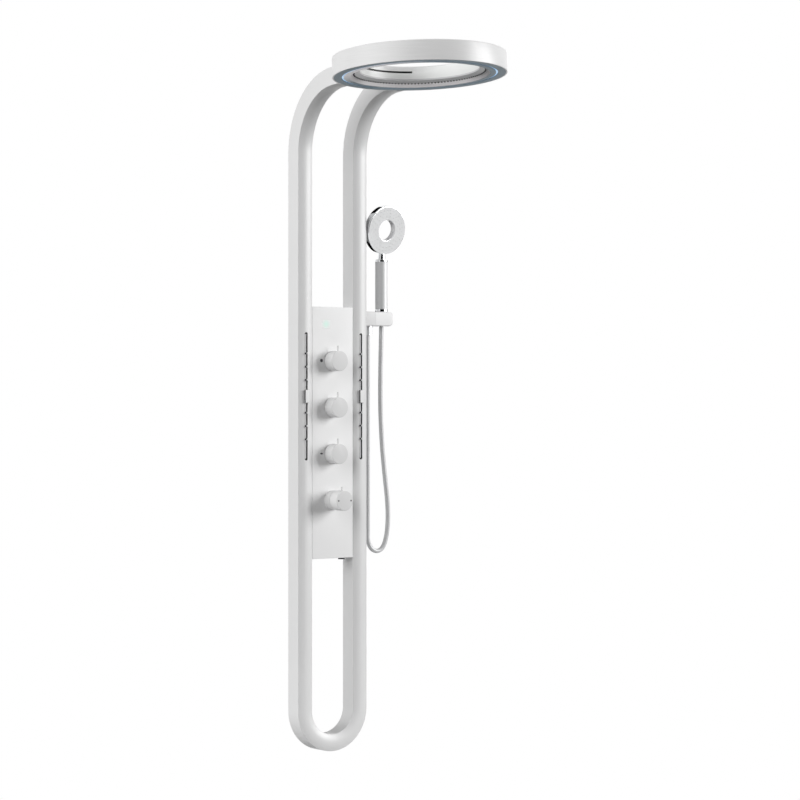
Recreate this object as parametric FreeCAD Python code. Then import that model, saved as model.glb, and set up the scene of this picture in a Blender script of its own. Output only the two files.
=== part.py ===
import FreeCAD, Part
import math
import os

# Shower column with an overhead ring, body jets, thermostatic controls and a hand shower.
# Millimetres. X runs to the right, +Y into the wall, +Z up. The wall face is Y = 0, the origin is the
# centre of the wall fixing, and "out" is the distance from the wall towards the room.

# Working values shared by all pieces
overrun = 5.0
seat_gap = 0.05
fit_gap = 0.1
running_gap = 0.06
body_gap = 0.3

# Column frame: two rails of D section, a lower bend and two arms
panel_width = 120.0
rail_width = 40.0
rail_depth = 42.0
rail_crown = 5.0
rail_wall = 2.0
lower_bend_drop = 663.0
bend_start_height = 666.0
bend_back_radius = 188.0
arm_rise_deg = 3.3
arm_length = 16.7
sleeve_length = 30.0
sleeve_wall = 2.5
sleeve_turn_deg = 18.0
spigot_start = 2.0

# Overhead ring, from its outer wall inwards
ring_radius = 200.0
ring_height = 46.0
ring_wall = 3.0
ring_edge_round = 2.5
rim_width = 39.5
lip_width = 7.0
band_width = 16.5
lip_rise = 7.5
band_rise = 12.8
band_thickness = 3.5
base_thickness = 7.0
light_inset = 23.5
light_width = 4.5
light_recess = 1.5
diffuser_thickness = 2.2
light_board_thickness = 1.2
ring_post_radius = 4.0
ring_post_inset = 5.5
ring_screw_radius = 1.5
ring_screw_head_radius = 3.0
ring_screw_head_depth = 2.0
ring_screw_length = 16.0
ring_screw_count = 6
spray_count = 120
spray_radius = 1.8
spray_length = 1.4
spray_inset = 2.4
channel_wall = 2.0
channel_roof_gap = 3.0
waterfall_half_deg = 30.0
waterfall_end_deg = 0.8
waterfall_height = 4.4
waterfall_rise = 32.0
waterfall_wall = 1.0

# Control panel between the rails
panel_height = 602.0
panel_wall = 2.5
panel_seam = 0.4
panel_edge_round = 1.0
panel_back_out = 7.0
panel_back_wall = 2.0
panel_boss_radius = 4.0
panel_boss_inset = 8.0
panel_screw_radius = 1.6
panel_screw_head_radius = 3.2
panel_screw_head_height = 2.0
panel_screw_length = 16.0
frame_bolt_radius = 2.5
frame_bolt_head_radius = 4.5
frame_bolt_head_height = 3.0
frame_bolt_length = 8.0
frame_bolt_inset = 39.0

# Wall brackets, set in from the panel's edges
fixing_inset = 71.0
fixing_edge = 12.0
fixing_hole_radius = 3.25
bracket_inset = 8.0
bracket_height = 44.0
bracket_plate = 3.0
hook_inset = 10.0
hook_rise = 12.0
hook_offset = 12.0
hook_slot_height = 14.0
hook_slot_gap = 0.5

# Valve manifold and its cartridges
first_knob_drop = 129.5
last_knob_rise = 139.5
manifold_offset = 2.0
manifold_radius = 9.0
manifold_bore = 5.0
manifold_head = 21.5
boss_radius = 16.0
cartridge_flange_room = 4.5
boss_bore_radius = 10.0
boss_bore_depth = 18.0
port_radius = 6.0
port_reach = 18.0
cartridge_flange_radius = 13.5
cartridge_neck_radius = 8.5
cartridge_neck_length = 6.0
cartridge_nut_radius = 13.0
cartridge_nut_height = 4.0
thermostat_bore_radius = 13.0
thermostat_boss_radius = 18.0
thermostat_flange_radius = 17.0
thermostat_neck_radius = 10.0
thermostat_nut_radius = 15.0
inlet_inset = 21.6
inlet_radius = 10.48
inlet_bore_radius = 7.0
inlet_length = 11.5
inlet_end_out = 0.5
inlet_flange_radius = 13.0
inlet_flange_length = 3.0
inlet_plug_length = 10.0
inlet_plug_radius = 10.0
inlet_boss_radius = 13.5
inlet_nut_room = 8.0

# Feed pipes
feed_radius = 5.0
feed_bore = 3.5
feed_out = 15.5
pipe_gap = 0.4
feed_drop = 20.0
generator_width = 30.0
generator_height = 40.0
generator_round = 4.0
hand_feed_radius = 5.0
hand_feed_bore = 3.2
jet_feed_radius = 3.5
jet_feed_bore = 2.2
jet_feed_drop = 9.0

# Stop knobs
knob_radius = 24.0
knob_length = 29.0
knob_gap = 1.3
knob_wall = 3.5
knob_front_wall = 6.0
knob_edge_round = 1.2
hub_radius = 8.0
hub_gap = 2.0
spindle_radius = 4.0
spindle_bore_depth = 16.0
lever_radius = 2.0
lever_reach = 13.0
lever_place_share = 0.72

# Thermostat knob
sleeve_radius = 23.4
sleeve_reach = 19.0
sleeve_flange = 3.0
temperature_gap = 2.0
temperature_length = 29.5
temperature_spindle_radius = 5.0
temperature_hub_radius = 9.0
button_radius = 2.5
button_flange_radius = 3.4
button_flange_height = 1.2
button_reach = 9.0
button_place_share = 0.55

# Display, locking plug
display_width = 24.0
display_height = 22.0
display_x = -19.0
display_drop = 41.0
display_flange = 3.0
display_flange_thickness = 1.2
display_board_thickness = 1.6
plug_inset = 23.6
plug_front_inset = 15.0
plug_radius = 8.0
plug_head_height = 4.0
plug_shank_radius = 4.0
plug_shank_length = 9.0

# Body jets
jet_centre_height = 87.0
jet_slot_length = 305.0
jet_slot_width = 9.0
jet_bar_radius = 4.0
jet_bar_recess = 3.0
jet_journal_radius = 2.0
jet_journal_length = 4.0
jet_nozzle_radius = 2.3
jet_nozzle_bore = 0.8
jet_nozzle_proud = 4.5
jet_nozzle_seat = 1.5
jet_nozzle_places = (-102.0, -70.5, -39.0, 39.0, 70.5, 102.0)
jet_tab_height = 31.0
jet_tab_width = 11.0
jet_tab_stem = 5.0
jet_tab_thickness = 3.0
jet_tab_reach = 9.0
jet_tab_round = 1.0
jet_trough_width = 15.0
jet_trough_depth = 12.0
jet_trough_end = 5.0
jet_duct_radius = 2.5

# Hand shower holder on the right rail
hand_inset = 28.5
hand_out = 21.0
holder_top = 292.5
holder_height = 34.5
outlet_block_width = 31.5
outlet_block_depth = 36.0
outlet_inset = 18.3
cradle_depth = 34.0
cradle_end = 24.0
cradle_corner = 12.0
cradle_top_corner = 6.0
cradle_edge_round = 2.8
holder_edge_round = 1.5
holder_seam = 0.2
socket_top_radius = 13.6
socket_bottom_radius = 11.2
cradle_slit = 13.0
outlet_bore_radius = 4.0
holder_screw_radius = 2.0
holder_screw_head_radius = 3.6
holder_screw_head_height = 2.2
holder_screw_length = 12.0
holder_screw_spread = 18.0
holder_screw_rise = 10.0
cradle_stud_radius = 5.0
cradle_stud_length = 12.0

# Hose
hose_radius = 5.5
hose_bore = 3.5
hose_nut_top_radius = 12.2
hose_nut_bottom_radius = 11.6
hose_nut_height = 22.0
# Route in the plane of the hand shower, as (X, Z): from the cone nut, round the hanging loop, to the outlet
hose_route = (
    (160.0, 257.6),
    (157.4, 160.0),
    (156.8, 60.0),
    (161.6, -30.0),
    (170.2, -105.0),
    (177.6, -160.0),
    (180.2, -197.0),
    (179.2, -230.0),
    (174.5, -260.0),
    (164.0, -284.0),
    (146.5, -291.5),
    (128.5, -284.0),
    (118.3, -263.0),
    (118.3, 236.0),
)
hose_bend_share = 0.45

# Hand shower
cone_clearance = 0.35
grip_radius = 15.0
grip_bore = 10.5
grip_length = 114.0
collar_height = 7.5
collar_top_height = 6.0
collar_round = 1.0
neck_radius = 9.0
neck_top_radius = 7.4
neck_bore = 5.0
neck_overlap = 6.0
neck_length = 13.1
head_radius = 59.0
head_hole_radius = 25.0
head_thickness = 16.0
head_round = 2.0
head_tilt_deg = 10.5
head_turn_deg = 5.0
head_face_out = 41.8
face_margin = 2.4
face_thickness = 3.0
face_clearance = 0.1
head_cavity_depth = 8.0
head_cavity_wall = 3.0
face_nozzle_radius = 1.1
face_nozzle_length = 0.8
face_nozzle_counts = (18, 24, 30)

# Places worked out from the sizes above
rail_inner_x = panel_width / 2
rail_x = rail_inner_x + rail_width / 2
rail_outer_x = rail_inner_x + rail_width
rail_front = rail_depth + rail_crown
crown_radius = ((rail_width / 2) ** 2 + rail_crown ** 2) / (2 * rail_crown)
crown_centre = rail_front - crown_radius
bend_deg = 90 - arm_rise_deg
bend_axis = FreeCAD.Vector(0, -bend_back_radius, bend_start_height)
ring_reach = bend_back_radius + arm_length + math.sqrt(ring_radius ** 2 - rail_x ** 2)
rim_inner_radius = ring_radius - rim_width
lip_inner_radius = rim_inner_radius - lip_width
hole_radius = lip_inner_radius - band_width
light_radius = ring_radius - light_inset
channel_outer_radius = rim_inner_radius - channel_wall
channel_inner_radius = hole_radius + ring_wall + channel_wall / 2
channel_middle_radius = (channel_outer_radius + channel_inner_radius) / 2
panel_front = rail_depth
panel_inner = panel_front - panel_wall
panel_half = rail_inner_x - panel_seam
panel_inside_back = panel_back_out + panel_back_wall
bracket_width = panel_width - 2 * bracket_inset
hook_width = bracket_width - 2 * hook_inset
fixing_width = bracket_width - 2 * fixing_edge
fixing_height = panel_height - 2 * fixing_inset
hook_front = panel_inside_back + fit_gap + bracket_plate
frame_bolt_out = (panel_inside_back + panel_inner) / 2
knob_pitch = (panel_height - first_knob_drop - last_knob_rise) / 3
knob_heights = [panel_height / 2 - first_knob_drop - knob_pitch * step for step in range(4)]
stop_names = ("overhead", "jet", "hand")
thermostat_height = knob_heights[3]
boss_front_out = panel_inner - cartridge_flange_room
manifold_out = (panel_inside_back + boss_front_out) / 2 + manifold_offset
manifold_top = knob_heights[0] + manifold_head
inlet_spacing = 2 * (panel_half - inlet_inset)
display_z = panel_height / 2 - display_drop
plug_x = panel_half - plug_inset
plug_out = panel_front - plug_front_inset
feed_height = manifold_top + generator_height - feed_drop
feed_x = rail_inner_x + rail_wall + pipe_gap + feed_radius
hand_feed_x = rail_outer_x - rail_wall - pipe_gap - hand_feed_radius
feed_elbow_radius = feed_radius + pipe_gap
hand_feed_elbow_radius = hand_feed_radius + pipe_gap
jet_axis_out = rail_front - jet_bar_recess - jet_bar_radius
jet_feed_out = jet_axis_out - jet_feed_drop
jet_trough_back_out = jet_axis_out - jet_trough_depth
holder_bottom = holder_top - holder_height
holder_middle = holder_bottom + holder_height / 2
holder_screw_z = holder_middle + holder_screw_rise
holder_face_x = rail_outer_x
outlet_x = holder_face_x + outlet_inset
cradle_x = holder_face_x + outlet_block_width
hand_x = cradle_x + hand_inset
grip_bottom = holder_top + body_gap + collar_height
grip_top = grip_bottom + grip_length
neck_bottom = grip_top + collar_top_height
head_tilt = math.radians(head_tilt_deg)
head_height = neck_bottom + neck_length + head_radius * math.cos(head_tilt)

X_AXIS = FreeCAD.Vector(1, 0, 0)
Y_OUT = FreeCAD.Vector(0, -1, 0)
Z_AXIS = FreeCAD.Vector(0, 0, 1)
ORIGIN = FreeCAD.Vector(0, 0, 0)


def point(x, out, z):
    """A point given by its distance from the wall."""
    return FreeCAD.Vector(x, -out, z)


def save(name, *solids):
    """Write one piece, or a group of like pieces, as its own file."""
    shape = solids[0] if len(solids) == 1 else Part.makeCompound(list(solids))
    shape.exportStep("parts/" + name + ".step")


def block(x_low, x_high, out_low, out_high, z_low, z_high):
    """A box between two places on each axis."""
    return Part.makeBox(x_high - x_low, out_high - out_low, z_high - z_low, point(x_low, out_high, z_low))


def rod_out(x, z, radius, out_low, out_high):
    """A round bar that points away from the wall."""
    return Part.makeCylinder(radius, out_high - out_low, point(x, out_low, z), Y_OUT)


def rod_up(x, out, radius, z_low, z_high):
    """A round bar that stands upright."""
    return Part.makeCylinder(radius, z_high - z_low, point(x, out, z_low), Z_AXIS)


def rod_across(x_low, x_high, out, z, radius):
    """A round bar that lies along X."""
    return Part.makeCylinder(radius, x_high - x_low, point(x_low, out, z), X_AXIS)


def turned_out(profile, x, z):
    """A piece turned about an axis that points away from the wall, from (radius, out) pairs."""
    corners = [point(x + radius, out, z) for radius, out in profile]
    face = Part.Face(Part.makePolygon(corners + corners[:1]))
    return face.revolve(point(x, 0, z), Y_OUT, 360)


def turned_up(profile, angle=360):
    """A piece turned about the vertical through the origin, from (radius, height) pairs."""
    corners = [FreeCAD.Vector(radius, 0, height) for radius, height in profile]
    face = Part.Face(Part.makePolygon(corners + corners[:1]))
    return face.revolve(ORIGIN, Z_AXIS, angle)


def prism(centre, direction, radius, length):
    """A short six-sided stub, used where many small tips repeat."""
    side = direction.cross(X_AXIS)
    if side.Length < 0.5:
        side = direction.cross(Z_AXIS)
    side.normalize()
    other = direction.cross(side)
    corners = []
    for step in range(6):
        angle = math.radians(60 * step)
        corners.append(centre + side * (radius * math.cos(angle)) + other * (radius * math.sin(angle)))
    face = Part.Face(Part.makePolygon(corners + corners[:1]))
    return face.extrude(direction * length)


def lies_at(edge, axis, place):
    """Whether all of an edge lies at one place along an axis."""
    return all(abs(spot.dot(axis) - place) < seat_gap for spot in edge.discretize(4))


def round_edges(shape, radius, wanted):
    """Round the edges that the test picks out."""
    edges = [edge for edge in shape.Edges if wanted(edge)]
    return shape.makeFillet(radius, edges)


# Rails, arms and lower bend

def rail_section(x, inset, z):
    """The D section: flat back, flat sides and a crowned front, drawn in by inset all round."""
    half = rail_width / 2 - inset
    radius = crown_radius - inset
    crease = crown_centre + math.sqrt(radius ** 2 - half ** 2)
    back_left = point(x - half, inset, z)
    back_right = point(x + half, inset, z)
    front_right = point(x + half, crease, z)
    front_left = point(x - half, crease, z)
    crown = point(x, crown_centre + radius, z)
    edges = [
        Part.LineSegment(back_left, back_right).toShape(),
        Part.LineSegment(back_right, front_right).toShape(),
        Part.Arc(front_right, crown, front_left).toShape(),
        Part.LineSegment(front_left, back_left).toShape(),
    ]
    return Part.Face(Part.Wire(edges))


def in_arm(shape):
    """Turn a shape drawn above the bend's start into line with the arm."""
    turned = shape.copy()
    turned.rotate(bend_axis, X_AXIS, bend_deg)
    return turned


def rail_form(x, inset, end_reserve):
    """Straight rail, forward bend and arm as one solid form."""
    low = -lower_bend_drop - end_reserve
    straight = rail_section(x, inset, low).extrude(Z_AXIS * (bend_start_height - low))
    top = rail_section(x, inset, bend_start_height)
    bend = top.revolve(bend_axis, X_AXIS, bend_deg)
    arm = in_arm(top.extrude(Z_AXIS * (arm_reserve + end_reserve)))
    return straight.fuse([bend, arm]).removeSplitter()


def place_ring(shape):
    """Move a shape from the ring's own axis to its place at the end of the arms."""
    placed = shape.copy()
    placed.rotate(ORIGIN, X_AXIS, -arm_rise_deg)
    placed.translate(ring_origin)
    return placed


def ring_disc(radius, low, high):
    """A plain disc on the ring's axis, used to trim pieces."""
    return place_ring(Part.makeCylinder(radius, high - low, FreeCAD.Vector(0, 0, low)))


rise = math.radians(arm_rise_deg)
arm_top_y = -bend_back_radius * (1 - math.sin(rise))
arm_top_z = bend_start_height + bend_back_radius * math.cos(rise)
ring_top_y = -ring_reach + ring_height * math.sin(rise)
ring_top_z = arm_top_z + (arm_top_y - ring_top_y) * math.tan(rise)
ring_origin = FreeCAD.Vector(0, -ring_reach, ring_top_z - ring_height * math.cos(rise))


def arm_reach(radius, x, out):
    """Distance along the arm from the bend's end to a circle round the ring's axis."""
    start = bend_back_radius - (bend_back_radius - out) * math.sin(rise)
    end = ring_reach - math.sqrt(radius ** 2 - x ** 2)
    return (end - start) / math.cos(rise)


arm_reserve = arm_reach(ring_radius, rail_outer_x, 0) + overrun
feed_reach = arm_reach(channel_middle_radius, feed_x, feed_out)


def jet_slot(x):
    """The long round-ended slot in a rail's front."""
    half = jet_slot_width / 2
    straight = (jet_slot_length - jet_slot_width) / 2
    low = jet_centre_height - straight
    high = jet_centre_height + straight
    depth_low = jet_axis_out
    depth_high = rail_front + overrun
    slot = block(x - half, x + half, depth_low, depth_high, low, high)
    ends = [rod_out(x, z, half, depth_low, depth_high) for z in (low, high)]
    return slot.fuse(ends)


def side_hole(x_low, x_high, out, z, radius):
    """A round cutter through a side wall."""
    return rod_across(x_low, x_high, out, z, radius + fit_gap)


def bolt_places():
    """Heights of the bolts that join each rail to the panel."""
    end = panel_height / 2 - frame_bolt_inset
    return (-end, (knob_heights[1] + knob_heights[2]) / 2, end)


def make_rail(side):
    x = side * rail_x
    rail = rail_form(x, 0, 0).cut(rail_form(x, rail_wall, overrun))
    inner_low = side * rail_inner_x - rail_wall - overrun
    inner_high = side * rail_inner_x + rail_wall + overrun
    cutters = [ring_disc(ring_radius + fit_gap, -ring_height, 2 * ring_height), jet_slot(x)]
    cutters.append(side_hole(inner_low, inner_high, feed_out, feed_height, feed_radius))
    cutters.append(side_hole(inner_low, inner_high, jet_feed_out, knob_heights[1], jet_feed_radius))
    for z in bolt_places():
        cutters.append(side_hole(inner_low, inner_high, frame_bolt_out, z, frame_bolt_radius))
    if side > 0:
        cutters.append(side_hole(inner_low, inner_high, feed_out, knob_heights[2], hand_feed_radius))
        outer_low = holder_face_x - rail_wall - overrun
        outer_high = holder_face_x + overrun
        cutters.append(side_hole(outer_low, outer_high, feed_out, holder_middle, hand_feed_radius))
        for out in holder_screw_places():
            cutters.append(side_hole(outer_low, outer_high, out, holder_screw_z, holder_screw_radius))
    return rail.cut(cutters)


def make_bottom_bend():
    """The half-round bend that joins both rails below."""
    centre = point(0, 0, -lower_bend_drop)
    y_axis = FreeCAD.Vector(0, 1, 0)
    outer = rail_section(rail_x, 0, -lower_bend_drop).revolve(centre, y_axis, 180)
    inner = rail_section(rail_x, rail_wall, -lower_bend_drop).revolve(centre, y_axis, 180)
    return outer.cut(inner)


def make_rail_sleeve(side):
    """An inner sleeve that lines up a rail with the lower bend."""
    centre = point(0, 0, -lower_bend_drop)
    y_axis = FreeCAD.Vector(0, side, 0)

    def form(inset, extra):
        section = rail_section(side * rail_x, inset, -lower_bend_drop)
        up = section.extrude(Z_AXIS * (sleeve_length + extra))
        down = section.revolve(centre, y_axis, sleeve_turn_deg)
        return up.fuse(down)

    outer = form(rail_wall + fit_gap, 0)
    inner = form(rail_wall + fit_gap + sleeve_wall, overrun)
    return outer.cut(inner).removeSplitter()


def make_arm_spigot(side):
    """A plug in the arm's end with a nipple that carries water into the ring."""
    x = side * rail_x
    start = bend_start_height + spigot_start
    length = arm_reserve - spigot_start
    plug = in_arm(rail_section(x, rail_wall + fit_gap, start).extrude(Z_AXIS * length))
    plug = plug.cut(ring_disc(ring_radius + fit_gap, -ring_height, 2 * ring_height))
    reach = bend_start_height + feed_reach
    nipple = in_arm(rod_up(side * feed_x, feed_out, feed_radius, start + spigot_start, reach))
    nipple = nipple.cut(ring_disc(channel_outer_radius + fit_gap, -ring_height, 2 * ring_height))
    bore = in_arm(rod_up(side * feed_x, feed_out, feed_bore, start - overrun, reach + overrun))
    return plug.fuse(nipple).cut(bore)


# Overhead ring, drawn about its own upright axis and then placed

def band_height(radius):
    """Height of the lower face of the nozzle band at a radius."""
    if radius >= lip_inner_radius:
        return lip_rise * (rim_inner_radius - radius) / (rim_inner_radius - lip_inner_radius)
    share = (lip_inner_radius - radius) / (lip_inner_radius - hole_radius)
    return lip_rise + (band_rise - lip_rise) * share


def ring_post_places():
    """Angles and centre radius of the screw posts, clear of the two arms."""
    radius = ring_radius - ring_wall - ring_post_inset
    for step in range(ring_screw_count):
        angle = math.radians(360 * (step + 1 / 2) / ring_screw_count)
        yield radius * math.cos(angle), radius * math.sin(angle)


def waterfall_sector(radius_low, radius_high, height, half_deg):
    """An arc block on the wall side of the ring's hole."""
    low = waterfall_rise - height / 2
    high = waterfall_rise + height / 2
    profile = [(radius_low, low), (radius_high, low), (radius_high, high), (radius_low, high)]
    sector = turned_up(profile, 2 * half_deg)
    sector.rotate(ORIGIN, Z_AXIS, 90 - half_deg)
    return sector


def make_ring_shell():
    """Outer wall, top and inner wall as one open channel with screw posts inside."""
    wall_foot = band_rise + band_thickness + seat_gap
    profile = [
        (ring_radius, 0),
        (ring_radius, ring_height),
        (hole_radius, ring_height),
        (hole_radius, wall_foot),
        (hole_radius + ring_wall, wall_foot),
        (hole_radius + ring_wall, ring_height - ring_wall),
        (ring_radius - ring_wall, ring_height - ring_wall),
        (ring_radius - ring_wall, 0),
    ]
    shell = turned_up(profile)
    shell = round_edges(shell, ring_edge_round, lambda edge: lies_at(edge, Z_AXIS, ring_height))
    post_low = base_thickness + seat_gap
    post_height = ring_height - ring_wall - post_low
    posts = []
    screw_holes = []
    for x, y in ring_post_places():
        posts.append(Part.makeCylinder(ring_post_radius, post_height, FreeCAD.Vector(x, y, post_low)))
        hole_height = ring_screw_length - post_low + fit_gap
        hole = Part.makeCylinder(ring_screw_radius + seat_gap, hole_height, FreeCAD.Vector(x, y, post_low))
        screw_holes.append(hole)
    shell = shell.fuse(posts).cut(screw_holes)
    slot = waterfall_sector(hole_radius - overrun, hole_radius + ring_wall + seat_gap, waterfall_height,
                            waterfall_half_deg)
    shell = place_ring(shell.cut(slot))
    start = bend_start_height
    reach = start + feed_reach
    holes = [in_arm(rod_up(s * feed_x, feed_out, feed_radius + fit_gap, start, reach)) for s in (-1, 1)]
    return shell.cut(holes)


def make_ring_base():
    """The flat underside rim with the groove for the light."""
    half = light_width / 2
    roof = light_recess + diffuser_thickness + light_board_thickness + seat_gap
    outer = ring_radius - ring_wall - fit_gap
    profile = [
        (rim_inner_radius + fit_gap, 0),
        (light_radius - half, 0),
        (light_radius - half, roof),
        (light_radius + half, roof),
        (light_radius + half, 0),
        (outer, 0),
        (outer, base_thickness),
        (rim_inner_radius + fit_gap, base_thickness),
    ]
    base = turned_up(profile)
    cutters = []
    for x, y in ring_post_places():
        low = FreeCAD.Vector(x, y, -overrun)
        cutters.append(Part.makeCylinder(ring_screw_radius + fit_gap, 2 * overrun + base_thickness, low))
        head_depth = overrun + ring_screw_head_depth
        cutters.append(Part.makeCylinder(ring_screw_head_radius + fit_gap, head_depth, low))
    return base.cut(cutters)


def make_light_ring(low, high):
    half = light_width / 2 - fit_gap
    return turned_up([
        (light_radius - half, low),
        (light_radius + half, low),
        (light_radius + half, high),
        (light_radius - half, high),
    ])


def make_nozzle_ring():
    """The bevelled lip and the steeper nozzle band inside it."""
    outer = rim_inner_radius
    return turned_up([
        (outer, 0),
        (outer, band_thickness),
        (lip_inner_radius, lip_rise + band_thickness),
        (hole_radius, band_rise + band_thickness),
        (hole_radius, band_rise),
        (lip_inner_radius, lip_rise),
    ])


def make_spray_nozzles():
    """One row of soft tips round the nozzle band."""
    radius = lip_inner_radius - spray_inset
    run = lip_inner_radius - hole_radius
    climb = band_rise - lip_rise
    slope = math.hypot(run, climb)
    tips = []
    for step in range(spray_count):
        angle = 2 * math.pi * step / spray_count
        outward = FreeCAD.Vector(math.cos(angle), math.sin(angle), 0)
        normal = outward * (-climb / slope) - Z_AXIS * (run / slope)
        foot = outward * radius + Z_AXIS * band_height(radius) + normal * seat_gap
        tips.append(prism(foot, normal, spray_radius, spray_length))
    return tips


def make_water_channel():
    """The closed-topped channel that feeds the nozzle band and the waterfall."""
    top = ring_height - ring_wall - channel_roof_gap
    lift = band_thickness + fit_gap
    inner = channel_inner_radius
    outer = channel_outer_radius
    inner_foot = band_height(inner) + lift
    outer_foot = band_height(outer - channel_wall) + lift
    channel = turned_up([
        (inner, inner_foot),
        (inner + channel_wall, inner_foot),
        (inner + channel_wall, top - channel_wall),
        (outer - channel_wall, top - channel_wall),
        (outer - channel_wall, outer_foot),
        (outer, outer_foot),
        (outer, top),
        (inner, top),
    ])
    slot = waterfall_sector(hole_radius, inner + 2 * channel_wall, waterfall_height - 2 * waterfall_wall,
                            waterfall_half_deg - waterfall_end_deg)
    channel = place_ring(channel.cut(slot))
    start = bend_start_height
    reach = start + feed_reach
    holes = [in_arm(rod_up(s * feed_x, feed_out, feed_bore, start, reach)) for s in (-1, 1)]
    return channel.cut(holes)


def make_waterfall_lip():
    """A liner in the slot of the inner wall, from which the sheet of water falls."""
    inner = hole_radius + fit_gap
    outer = hole_radius + ring_wall + channel_wall / 2 - fit_gap
    liner = waterfall_sector(inner, outer, waterfall_height - 2 * fit_gap,
                             waterfall_half_deg - waterfall_end_deg / 4)
    opening = waterfall_sector(inner - overrun, outer + overrun, waterfall_height - 2 * waterfall_wall,
                               waterfall_half_deg - waterfall_end_deg)
    return liner.cut(opening)


def make_ring_screw(x, y):
    head = Part.makeCylinder(ring_screw_head_radius, ring_screw_head_depth, FreeCAD.Vector(x, y, 0))
    shank = Part.makeCylinder(ring_screw_radius, ring_screw_length, FreeCAD.Vector(x, y, 0))
    return head.fuse(shank).removeSplitter()


def make_ring():
    save("ring_shell", make_ring_shell())
    save("ring_base", place_ring(make_ring_base()))
    light_top = light_recess + diffuser_thickness
    save("light_diffuser", place_ring(make_light_ring(light_recess, light_top)))
    save("light_board", place_ring(make_light_ring(light_top, light_top + light_board_thickness)))
    save("nozzle_ring", place_ring(make_nozzle_ring()))
    save("spray_nozzles", *[place_ring(tip) for tip in make_spray_nozzles()])
    save("water_channel", make_water_channel())
    save("waterfall_lip", place_ring(make_waterfall_lip()))
    save("ring_screws", *[place_ring(make_ring_screw(x, y)) for x, y in ring_post_places()])


# Control panel

def panel_boss_places():
    """Corner and middle screw bosses of the panel."""
    x = panel_half - panel_wall - panel_boss_inset
    z = panel_height / 2 - panel_wall - panel_boss_inset
    return [(sx * x, sz * z) for sx in (-1, 1) for sz in (-1, 1)]


def make_panel_cover():
    """A shallow tray: front plate with side, top and bottom walls."""
    half_z = panel_height / 2
    cover = block(-panel_half, panel_half, panel_inside_back, panel_front, -half_z, half_z)
    cover = round_edges(cover, panel_edge_round, lambda edge: lies_at(edge, Y_OUT, panel_front))
    inside_x = panel_half - panel_wall
    inside_z = half_z - panel_wall
    inside = block(-inside_x, inside_x, panel_inside_back - overrun, panel_inner, -inside_z, inside_z)
    cover = cover.cut(inside)
    bosses = []
    cutters = []
    for x, z in panel_boss_places():
        bosses.append(rod_out(x, z, panel_boss_radius, panel_inside_back, panel_inner))
        hole_end = panel_back_out + panel_screw_length + fit_gap
        cutters.append(rod_out(x, z, panel_screw_radius + seat_gap, panel_back_out, hole_end))
    cover = cover.fuse(bosses)
    back = panel_inner - overrun
    front = panel_front + overrun
    for z in knob_heights[:3]:
        cutters.append(rod_out(0, z, cartridge_neck_radius + fit_gap, back, front))
    cutters.append(rod_out(0, thermostat_height, thermostat_neck_radius + fit_gap, back, front))
    cutters.append(display_plate(fit_gap, back, front))
    for side in (-1, 1):
        low = side * panel_half - panel_wall - overrun
        high = side * panel_half + panel_wall + overrun
        cutters.append(side_hole(low, high, feed_out, feed_height, feed_radius))
        cutters.append(side_hole(low, high, jet_feed_out, knob_heights[1], jet_feed_radius))
        for z in bolt_places():
            cutters.append(side_hole(low, high, frame_bolt_out, z, frame_bolt_radius))
    low = panel_half - panel_wall - overrun
    high = panel_half + overrun
    cutters.append(side_hole(low, high, feed_out, knob_heights[2], hand_feed_radius))
    cutters.append(rod_up(plug_x, plug_out, plug_shank_radius + fit_gap, -half_z - overrun,
                          -half_z + panel_wall + overrun))
    return cover.cut(cutters)


def hook_floor(side):
    """Height of the hook's ledge on the upper or lower bracket."""
    return side * fixing_height / 2 + hook_offset


def make_panel_back():
    """The rear plate, with the slots that hang on the wall brackets."""
    half_z = panel_height / 2
    plate = block(-panel_half, panel_half, panel_back_out, panel_inside_back, -half_z, half_z)
    back = panel_back_out - overrun
    front = panel_inside_back + overrun
    cutters = [rod_out(x, z, panel_screw_radius + fit_gap, back, front) for x, z in panel_boss_places()]
    for side in (-1, 1):
        top = hook_floor(side) + bracket_plate
        half = hook_width / 2 + hook_slot_gap
        cutters.append(block(-half, half, back, front, top - hook_slot_height, top + seat_gap))
        hole = inlet_radius + inlet_nut_room
        cutters.append(rod_out(side * inlet_spacing / 2, thermostat_height, hole, back, front))
    return plate.cut(cutters)


def make_panel_screw(x, z):
    head_out = panel_back_out - panel_screw_head_height
    head = rod_out(x, z, panel_screw_head_radius, head_out, panel_back_out)
    shank = rod_out(x, z, panel_screw_radius, head_out, panel_back_out + panel_screw_length)
    return head.fuse(shank).removeSplitter()


def make_frame_bolt(side, z):
    """A bolt from inside the panel through its side wall and the rail's wall."""
    seat = panel_half - panel_wall
    low = seat - frame_bolt_head_height
    head = rod_across(low, seat, frame_bolt_out, z, frame_bolt_head_radius)
    shank = rod_across(low, seat + frame_bolt_length, frame_bolt_out, z, frame_bolt_radius)
    bolt = head.fuse(shank).removeSplitter()
    return bolt if side > 0 else bolt.mirror(ORIGIN, X_AXIS)


def make_wall_bracket(side):
    """A wall plate with two screw holes and an upturned hook for the panel."""
    floor = hook_floor(side)
    hole_z = side * fixing_height / 2
    half = bracket_width / 2
    plate = block(-half, half, 0, bracket_plate, hole_z - bracket_height / 2, hole_z + bracket_height / 2)
    hook_half = hook_width / 2
    ledge = block(-hook_half, hook_half, 0, hook_front, floor, floor + bracket_plate)
    lip = block(-hook_half, hook_half, panel_inside_back + fit_gap, hook_front, floor, floor + hook_rise)
    hole_front = bracket_plate + overrun
    hole_x = fixing_width / 2
    holes = [rod_out(x, hole_z, fixing_hole_radius, -overrun, hole_front) for x in (-hole_x, hole_x)]
    return plate.fuse([ledge, lip]).cut(holes).removeSplitter()


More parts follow.
